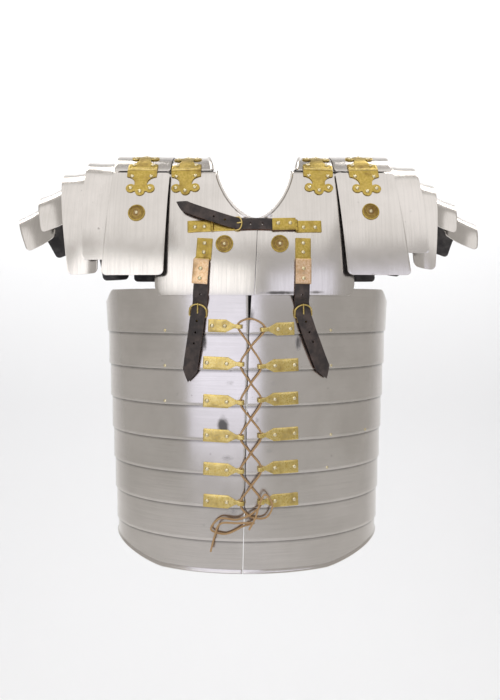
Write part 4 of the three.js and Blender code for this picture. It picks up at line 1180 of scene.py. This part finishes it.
# Lobate hinges: two waisted leaves with three round lobes each, on a knuckled barrel
lobateSize = {
    "half": 19.5, "shoulder": 11.5, "waist": 8.2, "waistAt": 23.0, "lobe": 6.2, "spread": 12.5,
    "drop": 29.5,
    "length": 34.0, "rivetDrop": 10.6, "barrel": 1.9, "lift": 2.0, "knuckles": 5, "slit": 0.9,
    "seat": 0.35, "rise": 1.5, "riseWidth": 3.2, "reach": 0.75,
}


def lobateOutlines():
    size = lobateSize
    half, waist = size["half"], size["waist"]
    bow = arc(half, -size["waistAt"], size["waistAt"] - size["shoulder"], 90, 172, 11)
    right = [(half, -1.0), (half, -size["shoulder"] + 0.6), *bow[1:], (waist, -size["length"])]
    body = right + [(-x, y) for x, y in reversed(right)]
    lobes = [(-size["spread"], -size["drop"]), (0.0, -size["length"]), (size["spread"], -size["drop"])]
    return [body[::-1], *(circle(x, y, size["lobe"]) for x, y in lobes)], lobes


# Flat work bent along the arch of a shoulder: u across, v down from the hinge line
def onArch(face, across, perMillimetre, hingeAngle, flip):
    size = lobateSize
    angles = np.linspace(hingeAngle - size["reach"], hingeAngle + size["reach"], 601)
    path = face(np.full(len(angles), across), angles)
    travelled = np.concatenate([[0], np.cumsum(np.linalg.norm(np.diff(path, axis=0), axis=1))])
    start = np.interp(hingeAngle, angles, travelled)

    def place(u, v, height):
        u, v = np.asarray(u, float) * flip, np.asarray(v, float) * flip
        angle = np.interp(start + v, travelled, angles)
        at = across + u * perMillimetre
        out = outOf(face, at, angle, 2 * abs(perMillimetre), 0.01)
        lift = size["seat"] + size["rise"] * np.exp(-((v / size["riseWidth"]) ** 2))
        return face(at, angle) + out * (lift + height)[..., None]
    return place


def lobateHinge(name, face, across, perMillimetre, hingeAngle):
    outlines, lobes = lobateOutlines()
    size = lobateSize
    shoulders = [(-size["spread"], -size["rivetDrop"]), (size["spread"], -size["rivetDrop"])]
    meshes, places = [], []
    for flip in (1, -1):
        place = onArch(face, across, perMillimetre, hingeAngle, flip)
        meshes.append(flatWork("leaf", outlines, [], brassThick, place, [oldBrass], 2.0))
        places += [placeOf(place, x, y, brassThick) for x, y in [*lobes, *shoulders]]
    meshes.append(rivets(places, **rivetSize))
    barrelFrame = frameOn(face, across, hingeAngle, 2 * perMillimetre, 0.01, size["lift"])
    meshes.append(knuckles(2 * size["half"], size["barrel"], size["knuckles"], barrelFrame, size["slit"],
                           brass))
    addPiece(name, joinedMesh(name, meshes), "brass", [name])


collarHinges = {"left": -82.0, "right": 90.0}
guardHinges = {"left": 139.8, "right": 150.0}
for side, sign in sides.items():
    hingeAngle = float(archAngle(yoke["hinge"], yoke["apex"]))
    lobateHinge(f"collar_hinge_{side}", trunkFace, collarHinges[side], 1.0, hingeAngle)
    share, angle, perMillimetre = guardPlace(side, guardHinges[side], yoke["hinge"])
    lobateHinge(f"guard_hinge_{side}", guardFace(side, sign), share, sign * perMillimetre, angle)
print("lobate hinges ready")


# Tie hooks: a waisted plate whose tongue curls back over the lace
hookSize = {
    "tall": 16.0, "nose": 10.0, "tab": 5.0, "reach": 11.0, "curl": 2.8, "lip": 8.2, "tilt": math.radians(2),
    "corner": 0.8, "headFront": 11.5, "headBack": 5.0, "head": {"radius": 2.8, "height": 1.9},
}
hookRows = [
    {"left": (-18.5, -229), "right": (24.2, -232.8), "length": 32},
    {"left": (-16.1, -275.6), "right": (20.5, -278.3), "length": 41},
    {"left": (-16.2, -323.2), "right": (20.5, -320.2), "length": 41},
    {"left": (-16.2, -366.5), "right": (20.6, -364.6), "length": 41},
    {"left": (-16.2, -409), "right": (20.6, -406.5), "length": 41},
    {"left": (-16.3, -449.5), "right": (20.7, -448.3), "length": 41},
]


def tieHook(name, k, x, z, sign, length):
    size = hookSize
    turn = size["tilt"] if sign > 0 else math.pi - size["tilt"]
    back = (length - size["reach"]) / 2
    middle = x + sign * back
    face = hoopFace(k)
    place = onFace(face, middle, z, turn, touch)
    half, tab, corner = size["tall"] / 2, size["tab"] / 2, size["corner"]
    shoulder = -back + size["nose"]
    endCorner = reversed(arc(length - back - corner, half - corner, corner, 0, 90))
    upper = [(-back, tab), (shoulder - corner, half - 0.6), (shoulder, half), *endCorner]
    outline = [*upper, *((u, -v) for u, v in reversed(upper))]
    plate = flatWork("plate", [outline], [], brassThick, place, [brass], 2.5)
    bend, radius = size["curl"] - size["reach"], size["curl"]
    line = [(1.0, 0.0)] + [(bend + radius * math.cos(a), radius + radius * math.sin(a))
                           for a in np.linspace(-math.pi / 2, -3 * math.pi / 2, 13)]
    line.append((bend + size["lip"] - radius, 2 * radius))
    grid = np.array([[(u, v, w) for v in np.linspace(-tab, tab, 5)] for u, w in line])
    tongue = plateFrom("tongue", grid, (bend + 1, 0, radius), brassThick, [brass], 0.25)
    frameHere = frameOn(face, middle, z, 0.5, 0.5, touch, turn) @ Matrix.Translation((-back, 0, 0))
    moved(tongue, frameHere)
    headPlaces = [placeOf(place, u - back, 0.0, brassThick)
                  for u in (size["headFront"], length - size["headBack"])]
    heads = rivets(headPlaces, **size["head"])
    addPiece(name, joinedMesh(name, [plate, tongue, heads]), "brass", [name])


for k, row in enumerate(hookRows):
    for side, sign in sides.items():
        tieHook(f"tie_hook_{side}_{k + 1}", k, *row[side], sign, row["length"])
print("tie hooks ready")


# Strap fittings: hinged plates and D buckles
strapFitting = {"corner": 0.7, "barrel": 2.1, "knuckles": 3, "slit": 1.3, "barCorner": 1.6,
                "collarHalf": 1.6}


def strapLeaf(face, x, z, wide, tall, turn, lift, heads, material):
    place = onFace(face, x, z, turn, lift)
    outline = roundedRectangle(wide, tall, strapFitting["corner"])
    meshes = [flatWork("strap leaf", [outline], [], brassThick, place, [material], 2.6)]
    if heads:
        meshes.append(rivets([placeOf(place, u, v, brassThick) for u, v in heads], **rivetSize))
    return meshes


def strapBarrel(face, x, z, length, lift, turn):
    size = strapFitting
    seat = frameOn(face, x, z, 1.0, 1.0, lift, turn)
    return [knuckles(length, size["barrel"], size["knuckles"], seat, size["slit"], oldBrass)]


# A D of round wire lying on its bar, with a tongue from the bar over the bow
def dBuckle(wide, length, wire, matrix):
    half = wide / 2 - wire / 2
    bow = min(wide / 2, length * 0.55)
    centre = length - wire / 2 - bow
    corner, collarHalf = strapFitting["barCorner"], strapFitting["collarHalf"]
    ring = [*arc(-half + corner, corner, corner, 180, 270, 4),
            *arc(half - corner, corner, corner, 270, 360, 4)]
    ring += [(half * math.cos(a), centre + (bow - wire / 2) * math.sin(a))
             for a in np.linspace(0, math.pi, 22)]
    path = np.array([(x, y, wire / 2) for x, y in ring])
    ringMesh = tube("ring", path, wire / 2, 12, brass, closed=True)
    reach = length + 0.6
    tongueLine = np.array([(0, -1.2, wire * 0.75), (0, 0, wire + 0.55), (0, reach * 0.4, wire + 0.35),
                           (0, reach * 0.8, wire + 0.45), (0, reach - 1.0, wire + 0.4)])
    tongue = tube("tongue", tongueLine, np.array([0.9, 1.15, 1.0, 0.85, 0.6]), 10, brass)
    collarLine = np.array([(-collarHalf, 0, wire / 2), (collarHalf, 0, wire / 2)])
    collar = tube("collar", collarLine, wire / 2 + 0.5, 12, brass)
    tilt = math.asin((leatherThick + 2 * touch) / length)
    tilted = matrix @ Matrix.Translation((0, 0, touch)) @ Matrix.Rotation(tilt, 4, "X")
    return [moved(mesh, tilted) for mesh in (ringMesh, tongue, collar)]


girdleStraps = {
    "left": {
        "upperLeaf": (-55.7, -132.9), "barrelAt": (-57.4, -146), "lowerLeaf": (-59.3, -161.6),
        "buckleAt": (-63.4, -216.8), "lean": -0.07, "buckleLean": -0.09,
        "route": [(-57.6, -149, 0.3), (-58.9, -168, 0.5), (-60.1, -187, 1.8), (-60.3, -191.8, 2.5),
                  (-60.5, -197, 3.0),
                  (-61.2, -202, 0.8), (-62.4, -208.5, 1.2), (-63.4, -215.5, 3.3), (-64.6, -222, 4.4),
                  (-66, -234, 5.0),
                  (-69, -254, 4.8), (-71.8, -272, 4.0), (-73.6, -285, 3.6), (-76.5, -299.5, 3.2)],
        "holes": [(-60.2, -189.7), (-64.8, -223), (-66.3, -236.5), (-68.3, -250.5)],
    },
    "right": {
        "upperLeaf": (67.3, -132.9), "barrelAt": (67.0, -146.2), "lowerLeaf": (66.6, -161.8),
        "buckleAt": (67.4, -217.5), "lean": -0.015, "buckleLean": 0.1,
        "route": [(66.9, -149, 0.3), (66.3, -168, 0.5), (65.7, -187, 0.9), (65.6, -191.8, 1.3),
                  (65.6, -197, 3.4),
                  (66, -202.5, 0.9), (66.7, -209, 1.2), (68.2, -216.5, 3.3), (70.6, -223, 4.6),
                  (74.2, -234, 5.2),
                  (81.2, -252, 4.8), (88, -270, 4.0), (93.4, -283, 3.6), (98.3, -296, 3.2)],
        "holes": [(65.5, -190.6), (71.2, -223.5), (75.6, -236), (80.4, -249)],
    },
}
girdleStrapSize = {
    "wide": 18.6, "tip": 16.0, "wire": 2.2, "buckleWide": 24.2, "buckleLong": 17.5, "upperLong": 26.6,
    "upperHeads": [(0, 7), (0, -4.5)], "lowerLong": 31.0, "lowerLift": 3.7,
    "lowerHeads": [(0, 3.5), (0, -8.5)],
    "barrelLift": 2.2, "seatLeaf": (15.0, 7.0), "seatBelow": 3.6,
}
breastStrapSize = {"wide": 14.4, "tip": 14.0, "wire": 2.0, "buckleWide": 18.8, "buckleLong": 11.4}
breastStrap = {
    "route": [(56.2, -103, 0.3), (40, -102.5, 0.3), (22, -101.6, 0.3), (2, -101.4, 0.3),
              (-5.6, -101.6, 0.4),
              (-11, -101.4, 1.2), (-17.6, -100.4, 2.9), (-26, -98, 3.9), (-44, -92, 4.6), (-62, -85.6, 5.0),
              (-78.6, -79, 5.0), (-92.8, -71.4, 4.6)],
    "holes": [(17.6, -100.6), (1.8, -100.2), (-29.6, -96.0), (-44.5, -91.0)],
    "turn": math.pi / 2 + 0.03, "buckleTurn": -math.pi / 2 + 0.05, "buckleAt": (-17.6, -102.0),
}
breastFittings = {
    "breast_strap_buckle": {
        "barrelAt": (-45.7, -103.6), "barrelLift": 1.9,
        "first": {"at": (-61.8, -104), "long": 31.2, "lift": touch, "heads": [(-1, 6), (-1, -6)]},
        "second": {"at": (-31.6, -103), "long": 29.4, "lift": touch, "heads": []},
    },
    "breast_strap_hinge": {
        "barrelAt": (59, -103.9), "barrelLift": 2.2,
        "first": {"at": (75.4, -104.6), "long": 31.6, "lift": touch, "heads": [(-1, 7.5), (-1, -7.5)]},
        "second": {
            "at": (43.4, -102.8), "long": 29.0, "lift": leatherThick + 3 * touch,
            "heads": [(1, 7.5), (1, -7.5)]},
    },
}


# A leather strap along its route: rows of x, z and lift above the steel, with a pointed tip and punched holes
def strapMesh(name, route, wide, holes, tipLong):
    half = wide / 2
    rows = []
    for i, (x, z, lift) in enumerate(route):
        before, after = route[max(i - 1, 0)], route[min(i + 1, len(route) - 1)]
        run = unit(np.array([after[0] - before[0], after[1] - before[1]], float))
        depths = []
        for side in (-1, 0, 1):
            px, pz = x - run[1] * half * side, z + run[0] * half * side
            depths.append(float(frontFace(np.array([px]), np.array([pz]))[0, 1]) - lift)
        rows.append((x, z, depths[1], depths[0], depths[2]))
    line = smoothLine(rows, 12)
    travelled = np.concatenate([[0], np.cumsum(np.linalg.norm(np.diff(line[:, :3], axis=0), axis=1))])
    total = travelled[-1]
    slope = unit(np.gradient(line[:, :2], axis=0))

    def place(u, v, height):
        u, v = np.asarray(u, float), np.asarray(v, float)
        x, z, middle, low, high = (np.interp(u, travelled, line[:, i]) for i in range(5))
        runX, runZ = (np.interp(u, travelled, slope[:, i]) for i in range(2))
        side = v / half
        y = middle + (high - low) / 2 * side + ((high + low) / 2 - middle) * side ** 2
        return spot(x - runZ * v, y - height, z + runX * v)

    tip = [(total - tipLong + tipLong * t, half * (1 - t ** 1.2)) for t in np.linspace(0, 1, 9)[:-1]]
    straight = [(u, half) for u in np.linspace(0, total - tipLong, 30)[:-1]]
    upper = [*straight, *tip]
    outline = [*((u, -v) for u, v in upper), (total, 0.0), *reversed(upper)]
    punched = []
    for x, z in holes:
        nearest = int(np.argmin((line[:, 0] - x) ** 2 + (line[:, 1] - z) ** 2))
        punched.append(circle(travelled[nearest], 0.0, 1.35, 16))
    return flatWork(name, [outline], punched, leatherThick, place, [leather, rawLeather], 2.4, 0.35)


firstHoop = hoopFace(0)
for side in sides:
    plan, size = girdleStraps[side], girdleStrapSize
    wide, lean = size["wide"] + 0.8, plan["lean"]
    meshes = [
        *strapLeaf(chestFace, *plan["upperLeaf"], wide, size["upperLong"], lean, touch, size["upperHeads"],
                   oldBrass),
        *strapBarrel(chestFace, *plan["barrelAt"], wide, size["barrelLift"], lean),
        *strapLeaf(chestFace, *plan["lowerLeaf"], wide, size["lowerLong"], lean, size["lowerLift"],
                   size["lowerHeads"], rosyBrass),
    ]
    name = f"girdle_strap_hinge_{side}"
    addPiece(name, joinedMesh(name, meshes), "brass", [name])
    x, z = plan["buckleAt"]
    seat = frameOn(firstHoop, x, z, 1.0, 1.0, 0.0, plan["buckleLean"])
    meshes = dBuckle(size["buckleWide"], size["buckleLong"], size["wire"], seat)
    meshes += strapLeaf(firstHoop, x, z - size["seatBelow"], *size["seatLeaf"], plan["buckleLean"], touch,
                        [],
                        oldBrass)
    name = f"girdle_buckle_{side}"
    addPiece(name, joinedMesh(name, meshes), "brass", [name])
    name = f"girdle_strap_{side}"
    addPiece(name, strapMesh(name, plan["route"], size["wide"], plan["holes"], size["tip"]), "leather",
             [name])


def breastFitting(plan, wide, turn):
    leaves = [strapLeaf(chestFace, *leaf["at"], wide, leaf["long"], turn, leaf["lift"], leaf["heads"],
                        oldBrass)
              for leaf in (plan["first"], plan["second"])]
    barrel = strapBarrel(chestFace, *plan["barrelAt"], wide, plan["barrelLift"], turn)
    return [*leaves[0], *barrel, *leaves[1]]


size = breastStrapSize
buckleFrame = frameOn(chestFace, *breastStrap["buckleAt"], 1.0, 1.0, 0.0, breastStrap["buckleTurn"])
for name, plan in breastFittings.items():
    meshes = breastFitting(plan, size["wide"] + 0.6, breastStrap["turn"])
    if name == "breast_strap_buckle":
        meshes += dBuckle(size["buckleWide"], size["buckleLong"], size["wire"], buckleFrame)
    addPiece(name, joinedMesh(name, meshes), "brass", [name])
leatherMesh = strapMesh("breast_strap", breastStrap["route"], size["wide"], breastStrap["holes"],
                        size["tip"])
addPiece("breast_strap", leatherMesh, "leather", ["breast_strap"])
print("straps and buckles ready")


# Studio: a pale floor that sweeps up behind, and large soft panels. The steel mirrors the panels:
# a white one low on the left, cooler ones in front, and the dimmer warm room everywhere else.
studio = {
    "floor": -1250.0, "back": 1500.0, "sweep": 700.0, "wide": 3600.0, "front": -2600.0, "high": 2400.0,
    "middle": (0.0, -0.14, -0.2), "room": opaque(0.95, 0.935, 0.915), "roomStrength": 0.52,
}
panels = {
    "white_panel": {"turn": -28, "rise": 13, "away": 2.2, "size": (2.2, 0.62), "glow": 1.3,
                    "colour": (0.94, 0.96, 1.0)},
    "front_panel": {"turn": -15, "rise": -7, "away": 2.2, "size": (1.95, 0.8), "glow": 1.0,
                    "colour": (0.74, 0.77, 1.0)},
    "right_panel": {"turn": 28, "rise": 9, "away": 2.2, "size": (1.5, 0.6), "glow": 0.9,
                    "colour": (0.74, 0.77, 1.0)},
    "ceiling": {"turn": 0, "rise": 60, "away": 2.3, "size": (4.2, 2.8), "glow": 0.66,
                "colour": (0.95, 0.96, 1.0)},
}
washes = {
    "wash_left": {"place": (-0.9, 0.55, 0.9), "aim": (-0.3, 1.5, -0.3), "size": (1.2, 0.5), "power": 10},
    "wash_right": {"place": (0.9, 0.55, 0.9), "aim": (0.3, 1.5, -0.3), "size": (1.2, 0.5), "power": 10},
}


def backdrop():
    size = studio
    curve = size["back"] - size["sweep"]
    profile = [(size["front"], size["floor"]), (curve, size["floor"])]
    for a in np.linspace(0, math.pi / 2, 16)[1:]:
        profile.append((curve + size["sweep"] * math.sin(a),
                        size["floor"] + size["sweep"] * (1 - math.cos(a))))
    profile.append((size["back"], size["high"]))
    points = [(x, y, z) for y, z in profile for x in (-size["wide"], size["wide"])]
    faces = [[2 * i, 2 * i + 1, 2 * i + 3, 2 * i + 2] for i in range(len(profile) - 1)]
    material, tree = startMaterial("pale_floor")
    endMaterial(tree, {"Base Color": opaque(0.86, 0.86, 0.86), "Roughness": 0.9})
    mesh = meshFrom("floor", points, faces, [material])
    mesh.shade_smooth()
    shown("floor", mesh)


def softLight(name, place, aim, size, power, colour=(1, 1, 1)):
    data = bpy.data.lights.new(name, "AREA")
    data.shape = "RECTANGLE"
    data.size, data.size_y = size
    data.energy = power
    data.color = colour
    light = bpy.data.objects.new(name, data)
    light.location = place
    light.rotation_euler = (Vector(aim) - Vector(place)).to_track_quat("-Z", "Y").to_euler()
    light.visible_camera = False
    bpy.context.scene.collection.objects.link(light)


# A panel stands at a turn and a rise seen from the armour, and glows with the same strength all over.
def addPanel(name, panel):
    turn, rise = math.radians(panel["turn"]), math.radians(panel["rise"])
    aside = Vector((math.sin(turn) * math.cos(rise), -math.cos(turn) * math.cos(rise), math.sin(rise)))
    place = Vector(studio["middle"]) + panel["away"] * aside
    power = panel["glow"] * math.pi * panel["size"][0] * panel["size"][1]
    softLight(name, place, studio["middle"], panel["size"], power, panel["colour"])


backdrop()
world = bpy.data.worlds.new("studio")
world.use_nodes = True
world.node_tree.nodes["Background"].inputs["Color"].default_value = studio["room"]
world.node_tree.nodes["Background"].inputs["Strength"].default_value = studio["roomStrength"]
bpy.context.scene.world = world
bpy.context.scene.view_settings.view_transform = "Standard"
for name, panel in panels.items():
    addPanel(name, panel)
for name, wash in washes.items():
    softLight(name, wash["place"], wash["aim"], wash["size"], wash["power"])
print("studio ready")
